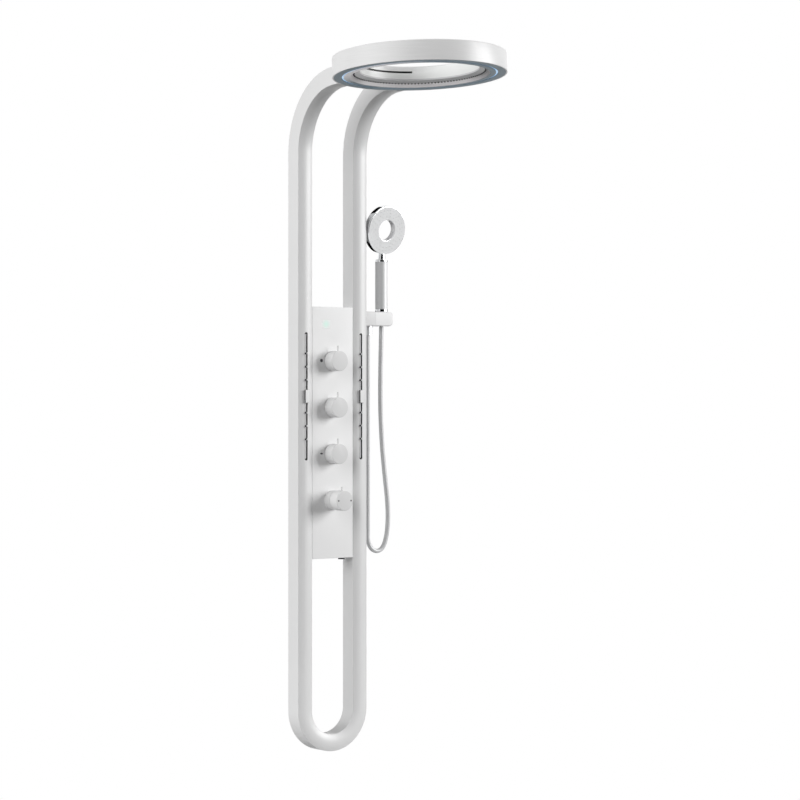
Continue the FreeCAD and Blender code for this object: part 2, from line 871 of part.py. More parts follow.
def make_panel():
    save("panel_cover", make_panel_cover())
    save("panel_back", make_panel_back())
    save("panel_screws", *[make_panel_screw(x, z) for x, z in panel_boss_places()])
    save("frame_bolts", *[make_frame_bolt(side, z) for side in (-1, 1) for z in bolt_places()])
    save("wall_brackets", make_wall_bracket(1), make_wall_bracket(-1))
    make_display()
    bottom = -panel_height / 2
    low = bottom - plug_head_height
    plug_head = rod_up(plug_x, plug_out, plug_radius, low, bottom)
    plug_shank = rod_up(plug_x, plug_out, plug_shank_radius, low, bottom + plug_shank_length)
    save("locking_plug", plug_head.fuse(plug_shank).removeSplitter())


def display_plate(margin, back, front):
    """A plate behind or in the display's opening, larger than it by a margin all round."""
    half_w = display_width / 2 + margin
    half_h = display_height / 2 + margin
    return block(display_x - half_w, display_x + half_w, back, front, display_z - half_h, display_z + half_h)


def make_display():
    back = panel_inner - display_flange_thickness
    window = display_plate(0, back, panel_front)
    flange = display_plate(display_flange, back, panel_inner - seat_gap)
    save("display_window", window.fuse(flange).removeSplitter())
    board_front = back - seat_gap
    save("display_board", display_plate(0, board_front - display_board_thickness, board_front))


# Valves and pipes

def make_manifold():
    """The brass body: an upright bar with a boss for each valve and a cross bar for the two inlets."""
    bar_low = thermostat_height
    pieces = [rod_up(0, manifold_out, manifold_radius, bar_low, manifold_top)]
    half_span = inlet_spacing / 2
    pieces.append(rod_across(-half_span, half_span, manifold_out, thermostat_height, manifold_radius))
    bores = [rod_up(0, manifold_out, manifold_bore, bar_low, manifold_top + overrun)]
    bores.append(rod_across(-half_span, half_span, manifold_out, thermostat_height, manifold_bore))
    back = panel_inside_back + seat_gap
    bore_back = boss_front_out - boss_bore_depth
    bore_front = boss_front_out + overrun
    for z in knob_heights[:3]:
        pieces.append(rod_out(0, z, boss_radius, back, boss_front_out))
        bores.append(rod_out(0, z, boss_bore_radius, bore_back, bore_front))
    pieces.append(rod_out(0, thermostat_height, thermostat_boss_radius, back, boss_front_out))
    bores.append(rod_out(0, thermostat_height, thermostat_bore_radius, bore_back, bore_front))
    inlet_face = inlet_end_out + inlet_length + inlet_flange_length
    plug_end = inlet_face + inlet_plug_length + fit_gap
    plug_hole = inlet_plug_radius + fit_gap
    for x in (-half_span, half_span):
        pieces.append(rod_out(x, thermostat_height, inlet_boss_radius, inlet_face + seat_gap, boss_front_out))
        bores.append(rod_out(x, thermostat_height, plug_hole, inlet_face - overrun, plug_end))
    port_end = port_reach + overrun
    pieces.append(rod_across(-port_reach, port_reach, jet_feed_out, knob_heights[1], jet_feed_radius))
    bores.append(rod_across(-port_end, port_end, jet_feed_out, knob_heights[1], jet_feed_bore))
    pieces.append(rod_across(0, port_reach, feed_out, knob_heights[2], port_radius))
    bores.append(rod_across(0, port_reach + overrun, feed_out, knob_heights[2], hand_feed_bore))
    body = pieces[0].fuse(pieces[1:])
    return body.cut(bores)


def make_inlet(side):
    """A threaded nipple that takes the supply hose, with a plug end in the manifold."""
    face = inlet_end_out + inlet_length
    flange_front = face + inlet_flange_length
    profile = [
        (inlet_bore_radius, inlet_end_out),
        (inlet_radius, inlet_end_out),
        (inlet_radius, face),
        (inlet_flange_radius, face),
        (inlet_flange_radius, flange_front),
        (inlet_plug_radius, flange_front),
        (inlet_plug_radius, flange_front + inlet_plug_length),
        (inlet_bore_radius, flange_front + inlet_plug_length),
    ]
    return turned_out(profile, side * inlet_spacing / 2, thermostat_height)


def cartridge_profile(plug, flange, neck, bore, neck_end, bore_end):
    """A valve cartridge: plug in the manifold, flange behind the panel, neck through it."""
    back = boss_front_out - boss_bore_depth + fit_gap
    return [
        (0, back),
        (plug, back),
        (plug, boss_front_out + seat_gap),
        (flange, boss_front_out + seat_gap),
        (flange, panel_inner - seat_gap),
        (neck, panel_inner - seat_gap),
        (neck, neck_end),
        (bore, neck_end),
        (bore, bore_end),
        (0, bore_end),
    ]


stop_neck_end = panel_front + cartridge_neck_length
stop_bore_end = boss_front_out - spindle_bore_depth / 2
sleeve_front = panel_front + sleeve_reach
temperature_back = sleeve_front + temperature_gap
temperature_front = temperature_back + temperature_length
thermostat_neck_end = temperature_back + hub_gap
thermostat_bore_end = boss_front_out - spindle_bore_depth / 2
knob_back = panel_front + knob_gap
knob_front = knob_back + knob_length


def make_nut(z, back, radius, neck):
    """A six-sided nut round a cartridge's neck."""
    nut = prism(point(0, back, z), Y_OUT, radius, cartridge_nut_height)
    hole = rod_out(0, z, neck + seat_gap, back - overrun, back + cartridge_nut_height + overrun)
    return nut.cut(hole)


def make_valves():
    profile = cartridge_profile(boss_bore_radius - fit_gap, cartridge_flange_radius, cartridge_neck_radius,
                                spindle_radius + running_gap, stop_neck_end, stop_bore_end)
    save("stop_cartridges", *[turned_out(profile, 0, z) for z in knob_heights[:3]])
    profile = cartridge_profile(thermostat_bore_radius - fit_gap, thermostat_flange_radius,
                                thermostat_neck_radius, temperature_spindle_radius + running_gap,
                                thermostat_neck_end, thermostat_bore_end)
    save("thermostat_cartridge", turned_out(profile, 0, thermostat_height))
    nut_back = panel_front + seat_gap
    nuts = [make_nut(z, nut_back, cartridge_nut_radius, cartridge_neck_radius) for z in knob_heights[:3]]
    nut_back = panel_front + sleeve_flange + seat_gap
    nuts.append(make_nut(thermostat_height, nut_back, thermostat_nut_radius, thermostat_neck_radius))
    save("cartridge_nuts", *nuts)
    inner = sleeve_radius - knob_wall
    bore = thermostat_neck_radius + fit_gap
    save("thermostat_sleeve", turned_out([
        (bore, panel_front),
        (sleeve_radius, panel_front),
        (sleeve_radius, sleeve_front),
        (inner, sleeve_front),
        (inner, panel_front + sleeve_flange),
        (bore, panel_front + sleeve_flange),
    ], 0, thermostat_height))


def round_face(radius, centre, heading):
    """A filled circle across a heading."""
    return Part.Face(Part.Wire(Part.makeCircle(radius, centre, heading)))


def elbow(x, out, z, turn_x, radius, bend):
    """A quarter bend from a run along X to an upright one; turn_x says on which side the upright stands."""
    circle = round_face(radius, point(x, out, z), X_AXIS)
    return circle.revolve(point(x, out, z + bend), FreeCAD.Vector(0, -turn_x, 0), 90)


def feed_pipe(side, radius, extra):
    """Pipe from the generator into a rail, up it, round the bend and to the arm's plug."""
    start = generator_width / 2 + seat_gap - extra
    turn = feed_x - feed_elbow_radius
    low, high = (start, turn) if side > 0 else (-turn, -start)
    run = rod_across(low, high, feed_out, feed_height, radius)
    corner = elbow(side * turn, feed_out, feed_height, side, radius, feed_elbow_radius)
    rise_low = feed_height + feed_elbow_radius
    rise = rod_up(side * feed_x, feed_out, radius, rise_low, bend_start_height)
    circle = round_face(radius, point(side * feed_x, feed_out, bend_start_height), Z_AXIS)
    bend = circle.revolve(bend_axis, X_AXIS, bend_deg)
    end = bend_start_height + spigot_start - seat_gap + extra
    tip = in_arm(rod_up(side * feed_x, feed_out, radius, bend_start_height, end))
    return run.fuse([corner, rise, bend, tip]).removeSplitter()


def hand_pipe(radius, extra):
    """Pipe from the manifold up the right rail to the outlet block."""
    start = port_reach + seat_gap - extra
    turn = hand_feed_x - hand_feed_elbow_radius
    low_z = knob_heights[2]
    run = rod_across(start, turn, feed_out, low_z, radius)
    corner = elbow(turn, feed_out, low_z, 1, radius, hand_feed_elbow_radius)
    top_z = holder_middle
    bend_z = top_z - hand_feed_elbow_radius
    rise = rod_up(hand_feed_x, feed_out, radius, low_z + hand_feed_elbow_radius, bend_z)
    circle = round_face(radius, point(hand_feed_x, feed_out, bend_z), Z_AXIS)
    tip_start = hand_feed_x + hand_feed_elbow_radius
    upper = circle.revolve(point(tip_start, feed_out, bend_z), FreeCAD.Vector(0, 1, 0), 90)
    end = holder_face_x + fit_gap + extra
    tip = rod_across(tip_start, end, feed_out, top_z, radius)
    return run.fuse([corner, rise, upper, tip]).removeSplitter()


def make_pipes():
    low = manifold_top + seat_gap
    high = manifold_top + generator_height
    half = generator_width / 2
    back = hook_front + body_gap
    generator = block(-half, half, back, boss_front_out, low, high)
    upright = lambda edge: edge.BoundBox.ZLength > generator_height / 2
    generator = round_edges(generator, generator_round, upright)
    bore = rod_up(0, manifold_out, manifold_bore, low - overrun, feed_height)
    cross = rod_across(-half - overrun, half + overrun, feed_out, feed_height, feed_bore)
    save("flow_generator", generator.cut([bore, cross]))
    pipes = [feed_pipe(s, feed_radius, 0).cut(feed_pipe(s, feed_bore, seat_gap / 2)) for s in (-1, 1)]
    save("overhead_feed_pipes", *pipes)
    save("hand_feed_pipe", hand_pipe(hand_feed_radius, 0).cut(hand_pipe(hand_feed_bore, seat_gap / 2)))
    reach = rail_x - jet_trough_width / 2 - seat_gap
    jets = []
    for side in (-1, 1):
        ends = sorted((side * (port_reach + seat_gap), side * reach))
        pipe = rod_across(ends[0], ends[1], jet_feed_out, knob_heights[1], jet_feed_radius)
        bore = rod_across(ends[0] - overrun, ends[1] + overrun, jet_feed_out, knob_heights[1], jet_feed_bore)
        jets.append(pipe.cut(bore))
    save("jet_feed_pipes", *jets)


# Knobs

def knob_form(back, front, radius, hub, bore, bore_end, height):
    """A cup-shaped knob with a hub for its spindle."""
    inner = radius - knob_wall
    cavity_end = front - knob_front_wall
    hub_back = back + hub_gap + cartridge_neck_length
    knob = turned_out([
        (0, front),
        (radius, front),
        (radius, back),
        (inner, back),
        (inner, cavity_end),
        (hub, cavity_end),
        (hub, hub_back),
        (bore, hub_back),
        (bore, bore_end),
        (0, bore_end),
    ], 0, height)
    return round_edges(knob, knob_edge_round, lambda edge: lies_at(edge, Y_OUT, front))


def make_stop_knob(name, height):
    bore_end = knob_front - knob_front_wall + fit_gap
    bore = spindle_radius + seat_gap
    knob = knob_form(knob_back, knob_front, knob_radius, hub_radius, bore, bore_end, height)
    lever_out = panel_front + lever_place_share * (knob_gap + knob_length)
    root = height + knob_radius - knob_wall
    hole = rod_up(0, lever_out, lever_radius + seat_gap, root - overrun, height + knob_radius + overrun)
    save(name + "_knob", knob.cut(hole))
    tip = height + knob_radius + lever_reach
    lever = rod_up(0, lever_out, lever_radius, root, tip)
    save(name + "_lever", round_edges(lever, lever_radius / 3, lambda edge: lies_at(edge, Z_AXIS, tip)))
    save(name + "_spindle", rod_out(0, height, spindle_radius, stop_bore_end + fit_gap, bore_end - fit_gap))


def make_temperature_knob():
    height = thermostat_height
    bore_end = temperature_front - knob_front_wall + fit_gap
    knob = knob_form(temperature_back, temperature_front, knob_radius, temperature_hub_radius,
                     temperature_spindle_radius + seat_gap, bore_end, height)
    button_out = temperature_back + button_place_share * temperature_length
    top = height + knob_radius
    hole = rod_up(0, button_out, button_radius + running_gap, top - knob_wall - overrun, top + overrun)
    save("temperature_knob", knob.cut(hole))
    save("temperature_spindle", rod_out(0, height, temperature_spindle_radius, thermostat_bore_end + fit_gap,
                                        bore_end - fit_gap))
    cavity = knob_radius - knob_wall
    flange_top = height + math.sqrt(cavity ** 2 - button_flange_radius ** 2) - body_gap
    flange_low = flange_top - button_flange_height
    stem = rod_up(0, button_out, button_radius, flange_low, top + button_reach)
    tip = top + button_reach
    stem = round_edges(stem, button_radius / 3, lambda edge: lies_at(edge, Z_AXIS, tip))
    flange = rod_up(0, button_out, button_flange_radius, flange_low, flange_top)
    save("safety_button", stem.fuse(flange).removeSplitter())


# Body jets

def make_jet(side, name):
    x = side * rail_x
    half_length = jet_slot_length / 2 - jet_slot_width / 2
    low = jet_centre_height - half_length
    high = jet_centre_height + half_length
    bar = rod_up(x, jet_axis_out, jet_bar_radius, low, high)
    journal = rod_up(x, jet_axis_out, jet_journal_radius, low - jet_journal_length, high + jet_journal_length)
    tab_low = jet_centre_height - jet_tab_height / 2
    tab_high = jet_centre_height + jet_tab_height / 2
    cap_back = jet_axis_out + jet_tab_reach
    front = cap_back + jet_tab_thickness
    half = jet_tab_stem / 2
    stem = block(x - half, x + half, jet_axis_out, cap_back, tab_low, tab_high)
    half = jet_tab_width / 2
    cap = block(x - half, x + half, cap_back, front, tab_low, tab_high)
    cap = round_edges(cap, jet_tab_round, lambda edge: lies_at(edge, Y_OUT, front))
    bar = bar.fuse([journal, stem, cap]).removeSplitter()
    seat = jet_axis_out + jet_nozzle_seat
    tip = rail_front + jet_nozzle_proud
    nozzles = []
    holes = []
    for place in jet_nozzle_places:
        z = jet_centre_height + place
        holes.append(rod_out(x, z, jet_nozzle_radius + seat_gap, seat, rail_front))
        nozzle = rod_out(x, z, jet_nozzle_radius, seat + seat_gap, tip)
        nozzles.append(nozzle.cut(rod_out(x, z, jet_nozzle_bore, tip - jet_nozzle_proud, tip + overrun)))
    save(name + "_jet_bar", bar.cut(holes))
    save(name + "_jet_nozzles", *nozzles)
    save(name + "_jet_trough", make_jet_trough(x, low, high))


def make_jet_trough(x, low, high):
    """The channel behind the slot, with a bearing for the bar at each end."""
    half = jet_trough_width / 2
    crown_inside = crown_radius - rail_wall
    front = crown_centre + math.sqrt(crown_inside ** 2 - half ** 2) - body_gap
    end_low = low - jet_trough_end - body_gap
    end_high = high + jet_trough_end + body_gap
    trough = block(x - half, x + half, jet_trough_back_out, front, end_low, end_high)
    room = jet_bar_radius + body_gap
    groove = rod_up(x, jet_axis_out, room, low - body_gap, high + body_gap)
    mouth = block(x - room, x + room, jet_axis_out, front + overrun, low - body_gap, high + body_gap)
    bearing = rod_up(x, jet_axis_out, jet_journal_radius + running_gap, low - jet_journal_length - body_gap,
                     high + jet_journal_length + body_gap)
    duct = rod_up(x, jet_feed_out, jet_duct_radius, low, high)
    ends = sorted((x, x - math.copysign(half + overrun, x)))
    inlet = rod_across(ends[0], ends[1], jet_feed_out, knob_heights[1], jet_feed_bore)
    return trough.cut([groove, mouth, bearing, duct, inlet])


# Holder and hose

def holder_screw_places():
    """Distances from the wall of the two screws, which sit above the water pipe."""
    return (hand_out - holder_screw_spread / 2, hand_out + holder_screw_spread / 2)


def make_outlet_block():
    """The fixed block on the rail's side: it takes the water from the rail and carries the cradle."""
    half = outlet_block_depth / 2
    low_x = holder_face_x + fit_gap
    high_x = cradle_x - holder_seam
    solid = block(low_x, high_x, hand_out - half, hand_out + half, holder_bottom, holder_top)
    outer = lambda edge: edge.BoundBox.XLength > outlet_block_width / 2
    solid = round_edges(solid, holder_edge_round, outer)
    passage = rod_across(low_x - overrun, outlet_x, feed_out, holder_middle, hand_feed_bore)
    down = rod_up(outlet_x, hand_out, outlet_bore_radius, holder_bottom - overrun, holder_middle)
    screws = []
    for out in holder_screw_places():
        screws.append(rod_across(low_x - overrun, low_x + holder_screw_length, out, holder_screw_z,
                                 holder_screw_radius + seat_gap))
    socket = rod_across(high_x - cradle_stud_length, high_x + overrun, hand_out, holder_middle,
                        cradle_stud_radius + seat_gap)
    return solid.cut([passage, down, socket] + screws)


def make_cradle():
    """The socket for the hand shower, rounded at its outer corners and slit for the hose."""
    half = cradle_depth / 2
    end_x = hand_x + cradle_end
    low_x = cradle_x
    back = hand_out - half
    front = hand_out + half
    solid = block(low_x, end_x, back, front, holder_bottom, holder_top)
    for height, radius in ((holder_bottom, cradle_corner), (holder_top, cradle_top_corner)):
        corner = lambda edge: lies_at(edge, X_AXIS, end_x) and lies_at(edge, Z_AXIS, height)
        solid = round_edges(solid, radius, corner)
    long_edges = lambda edge: not lies_at(edge, X_AXIS, low_x) and (
        lies_at(edge, Y_OUT, front) or lies_at(edge, Y_OUT, back))
    solid = round_edges(solid, cradle_edge_round, long_edges)
    stud = rod_across(low_x - cradle_stud_length, low_x, hand_out, holder_middle, cradle_stud_radius)
    solid = solid.fuse(stud)
    foot = point(hand_x, hand_out, holder_bottom)
    socket = Part.makeCone(socket_bottom_radius, socket_top_radius, holder_height, foot)
    below = rod_up(hand_x, hand_out, socket_bottom_radius, holder_bottom - overrun, holder_bottom)
    above = rod_up(hand_x, hand_out, socket_top_radius, holder_top, holder_top + overrun)
    slit = block(hand_x, end_x + overrun, hand_out - cradle_slit / 2, hand_out + cradle_slit / 2,
                 holder_bottom - overrun, holder_top + overrun)
    return solid.cut([socket, below, above, slit])


def make_holder_screw(out):
    """A screw from inside the rail into the outlet block."""
    wall_x = holder_face_x - rail_wall
    head_x = wall_x - holder_screw_head_height
    head = rod_across(head_x, wall_x, out, holder_screw_z, holder_screw_head_radius)
    shank = rod_across(head_x, wall_x + holder_screw_length, out, holder_screw_z, holder_screw_radius)
    return head.fuse(shank).removeSplitter()


def hose_path():
    """Edges of the hose's centre line: straight runs joined by tangent arcs as large as the runs allow."""
    corners = [point(x, hand_out, z) for x, z in hose_route]
    edges = []
    radii = []
    last = corners[0]
    for before, here, after in zip(corners, corners[1:], corners[2:]):
        into = here - before
        away = after - here
        shorter = min(into.Length, away.Length)
        turn = into.getAngle(away)
        into.normalize()
        away.normalize()
        tangent = hose_bend_share * shorter
        radius = tangent / math.tan(turn / 2)
        start = here - into * tangent
        end = here + away * tangent
        bisector = away - into
        bisector.normalize()
        middle = here + bisector * (radius / math.cos(turn / 2) - radius)
        edges.append(Part.LineSegment(last, start).toShape())
        edges.append(Part.Arc(start, middle, end).toShape())
        radii.append(radius)
        last = end
    edges.append(Part.LineSegment(last, corners[-1]).toShape())
    print("hose bend radii", [round(radius, 1) for radius in radii])
    return Part.Wire(edges)


def make_hose():
    path = hose_path()

    def tube(radius):
        heading = path.Edges[0].tangentAt(path.Edges[0].FirstParameter)
        circle = Part.Wire(Part.makeCircle(radius, path.Edges[0].Vertexes[0].Point, heading))
        return path.makePipeShell([circle], True, False)

    hose = tube(hose_radius).cut(tube(hose_bore))
    section = math.pi * (hose_radius ** 2 - hose_bore ** 2)
    print("hose length", round(path.Length, 1))
    print("hose volume share", round(hose.Volume / (section * path.Length), 4))
    return hose


def make_holder():
    save("outlet_block", make_outlet_block())
    save("cradle", make_cradle())
    save("holder_screws", *[make_holder_screw(out) for out in holder_screw_places()])
    foot = holder_bottom - hose_nut_height
    nut = Part.makeCone(hose_nut_bottom_radius, hose_nut_top_radius, hose_nut_height,
                        point(outlet_x, hand_out, foot))
    bore = rod_up(outlet_x, hand_out, hose_bore, foot - overrun, holder_bottom + overrun)
    save("hose_outlet_nut", nut.cut(bore))
    save("hose", make_hose())


# Hand shower

def place_head(shape):
    """Move a shape drawn on an axis through the origin to the tilted head."""
    placed = shape.copy()
    placed.rotate(ORIGIN, X_AXIS, head_tilt_deg)
    placed.translate(point(hand_x, head_face_out, head_height))
    return placed


def turn_head(shape):
    """Turn a placed shape with the head about the grip's axis."""
    turned = shape.copy()
    turned.rotate(point(hand_x, hand_out, 0), Z_AXIS, head_turn_deg)
    return turned


def head_ring(inner, outer, front, back):
    """A flat ring about the head's own axis, between two depths behind its face."""
    return turned_out([(inner, -front), (outer, -front), (outer, -back), (inner, -back)], 0, 0)


def make_handset():
    cone_top = holder_top + body_gap
    cone_low = holder_bottom
    top_radius = socket_top_radius - cone_clearance
    low_radius = socket_bottom_radius - cone_clearance
    cone = Part.makeCone(low_radius, top_radius, cone_top - cone_low, point(hand_x, hand_out, cone_low))
    bore = rod_up(hand_x, hand_out, hose_bore, cone_low - overrun, cone_top + overrun)
    save("hose_cone_nut", cone.cut(bore))
    collars = []
    for low, high in ((cone_top, grip_bottom), (grip_top, neck_bottom)):
        collar = rod_up(hand_x, hand_out, grip_radius, low + seat_gap, high - seat_gap)
        collar = round_edges(collar, collar_round, lambda edge: edge.BoundBox.ZLength < seat_gap)
        hole = rod_up(hand_x, hand_out, neck_bore, low - overrun, high + overrun)
        collars.append(collar.cut(hole))
    save("handset_collars", *collars)
    grip = rod_up(hand_x, hand_out, grip_radius, grip_bottom, grip_top)
    bore = rod_up(hand_x, hand_out, grip_bore, grip_bottom - overrun, grip_top + overrun)
    save("handset_grip", grip.cut(bore))
    shell = head_ring(head_hole_radius, head_radius, 0, head_thickness)
    shell = round_edges(shell, head_round, lambda edge: edge.BoundBox.YLength < seat_gap)
    inner = head_hole_radius + face_margin
    outer = head_radius - face_margin
    recess = head_ring(inner, outer, -overrun, face_thickness)
    floor = face_thickness + head_cavity_depth
    cavity = head_ring(inner + head_cavity_wall, outer - head_cavity_wall, 0, floor)
    rim_out = head_face_out - head_thickness / 2 * math.cos(head_tilt) - head_radius * math.sin(head_tilt)
    rim_z = head_height + head_thickness / 2 * math.sin(head_tilt) - head_radius * math.cos(head_tilt)
    lower = Part.Wire(Part.makeCircle(neck_radius, point(hand_x, hand_out, neck_bottom + seat_gap), Z_AXIS))
    upper = Part.Wire(Part.makeCircle(neck_top_radius, point(hand_x, rim_out, rim_z + neck_overlap), Z_AXIS))
    neck = Part.makeLoft([lower, upper], True)
    body = place_head(shell).fuse(neck).cut([place_head(recess), place_head(cavity)])
    save("handset_head", turn_head(body))
    plate = head_ring(inner + face_clearance, outer - face_clearance, 0, face_thickness - seat_gap)
    tips = []
    rows = len(face_nozzle_counts)
    for row, count in enumerate(face_nozzle_counts):
        radius = inner + (outer - inner) * (row + 1) / (rows + 1)
        for step in range(count):
            angle = 2 * math.pi * (step + row / 2) / count
            centre = FreeCAD.Vector(radius * math.cos(angle), 0, radius * math.sin(angle))
            tips.append(prism(centre, Y_OUT, face_nozzle_radius, face_nozzle_length))
    save("handset_face", turn_head(place_head(plate.fuse(tips))))


def main():
    os.makedirs("parts", exist_ok=True)
    save("left_rail", make_rail(-1))
    save("right_rail", make_rail(1))
    save("bottom_bend", make_bottom_bend())
    save("rail_sleeves", make_rail_sleeve(-1), make_rail_sleeve(1))
    save("arm_spigots", make_arm_spigot(-1), make_arm_spigot(1))
    make_ring()
    make_panel()
    save("manifold", make_manifold())
    save("inlet_nipples", make_inlet(-1), make_inlet(1))
    make_valves()
    make_pipes()
    for name, height in zip(stop_names, knob_heights):
        make_stop_knob(name, height)
    make_temperature_knob()
    make_jet(-1, "left")
    make_jet(1, "right")
    make_holder()
    make_handset()


main()
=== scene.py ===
import math

import bpy
from bpy.props import FloatProperty, FloatVectorProperty, PointerProperty
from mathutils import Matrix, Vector


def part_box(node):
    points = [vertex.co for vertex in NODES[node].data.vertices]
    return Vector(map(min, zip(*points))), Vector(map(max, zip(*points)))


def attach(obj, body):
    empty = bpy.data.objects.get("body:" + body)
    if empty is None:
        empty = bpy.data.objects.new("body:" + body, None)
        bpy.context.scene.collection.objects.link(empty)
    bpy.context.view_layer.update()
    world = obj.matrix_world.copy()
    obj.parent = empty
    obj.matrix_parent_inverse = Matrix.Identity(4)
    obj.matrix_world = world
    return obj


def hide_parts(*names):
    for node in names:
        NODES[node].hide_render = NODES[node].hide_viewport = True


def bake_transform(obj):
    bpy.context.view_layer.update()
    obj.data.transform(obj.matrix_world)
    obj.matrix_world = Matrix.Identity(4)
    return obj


bl_info = {
    "name": "Shower column finish",
    "version": (1, 0, 0),
    "blender": (4, 5, 0),
    "location": "3D View > Sidebar > Shower",
    "description": "Finishes, hose and small marks for a wall-mounted shower column",
    "category": "Object",
}

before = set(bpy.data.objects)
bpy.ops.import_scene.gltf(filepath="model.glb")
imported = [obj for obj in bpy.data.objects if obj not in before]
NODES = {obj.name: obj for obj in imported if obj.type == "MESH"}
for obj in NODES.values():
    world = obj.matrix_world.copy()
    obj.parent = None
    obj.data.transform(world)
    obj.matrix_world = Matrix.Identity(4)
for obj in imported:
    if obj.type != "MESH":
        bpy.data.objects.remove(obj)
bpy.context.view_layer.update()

# Colours that a user would leave as they are.
BLACK = (0, 0, 0)
BRASS = (0.62, 0.45, 0.20)
STEEL = (0.50, 0.51, 0.52)
PIPE_GREY = (0.50, 0.50, 0.48)
BOARD_GREEN = (0.03, 0.16, 0.07)
HOLE_LINING = (0.80, 0.80, 0.81)
FACE_GREY = (0.83, 0.835, 0.84)
SPRAY_RUBBER = (0.035, 0.036, 0.04)
PLUG_BLACK = (0.015, 0.015, 0.016)
TROUGH_BLACK = (0.02, 0.02, 0.022)
# Painted shade on the sides of the jet bars and nozzles, and the nozzles' fronts.
BAR_PAINTED_SHADE = (0.03, 0.03, 0.032)
NOZZLE_PAINTED_SHADE = (0.05, 0.05, 0.055)
NOZZLE_FRONT = (0.75, 0.75, 0.75)
FLOOR_WHITE = (0.86, 0.86, 0.86)

# Heights that a fine skin and drawn lines lift a surface by.
SKIN_HEIGHT = 0.00002
DRAWN_HEIGHT = 0.00003

# Corners of a node's mesh nearer than this are one, and edges sharper than this stay sharp.
CORNER_DISTANCE = 0.000005
SHARP_EDGE = math.radians(28)

# Widths across the ring's underside, from the nozzle ring's rim inwards, and a skin of the inner wall,
# which the painted light on the inner wall covers.
LIP_WIDTH = 0.007
BAND_WIDTH = 0.0165
WALL_SKIN = 0.0015

# The rim is painted pale and given a faint glow as painted light from the lit ring. The painted light ends
# under the lit ring, this far in from the lit ring's outer edge, and it fades out between two places along
# X.
PAINTED_LIGHT_INSET = 0.0025
PAINTED_LIGHT_FADE = (-0.16, -0.08)

# Tilt and turn of the hand shower's head, and the radius about its axis where the chrome ends at its hole.
HEAD_TURN = (math.radians(10.5), 0, math.radians(5))
HEAD_CHROME_EDGE = 0.0265

# Route of the hose in the plane of the hand shower, as (X, Z) in metres, from the outlet to the cone nut.
# The second point keeps the long hanging stretch straight down to the loop.
HOSE_DEPTH = -0.021
HOSE_ROUTE = (
    (0.1183, 0.2360),
    (0.1183, -0.2397),
    (0.1183, -0.2630),
    (0.1285, -0.2840),
    (0.1465, -0.2915),
    (0.1640, -0.2840),
    (0.1745, -0.2600),
    (0.1792, -0.2300),
    (0.1802, -0.1970),
    (0.1776, -0.1600),
    (0.1702, -0.1050),
    (0.1616, -0.0300),
    (0.1568, 0.0600),
    (0.1574, 0.1600),
    (0.1600, 0.2576),
)

# Middles of the panel's marks, as (X, Z), how far the long one is stretched,
# and the share of a mark's depth that its rim is bevelled by.
OVERHEAD_MARK = (-0.0327, 0.1726)
HAND_MARK = (-0.0329, -0.0498)
LONG_STRETCH = 2.0
MARK_BEVEL_SHARE = 0.4

# Middle of the column, which the lights look at, and how far off they stand.
LIT_POINT = (0, 0, 0.1)
LIGHT_DISTANCE = 10.0

# Floor's width, and its middle in front of the wall.
FLOOR_WIDTH = 2.0
FLOOR_MIDDLE = -0.3

# Black cards: name, azimuth and width in degrees, distance, and the heights of the lower and upper edge.
DARK_CARDS = (
    ("dark_front", -111, 74, 8.0, -3.0, 4.0),
    ("dark_left", 91, 62, 6.0, -6.0, 0.5),
    ("dark_left_high", 91, 62, 6.0, 2.6, 10.0),
    ("dark_high", 136, 28, 6.0, 1.6, 10.0),
    ("dark_right", 15, 41, 6.0, -3.0, 0.8),
)


# Sizes and colours that a user would change

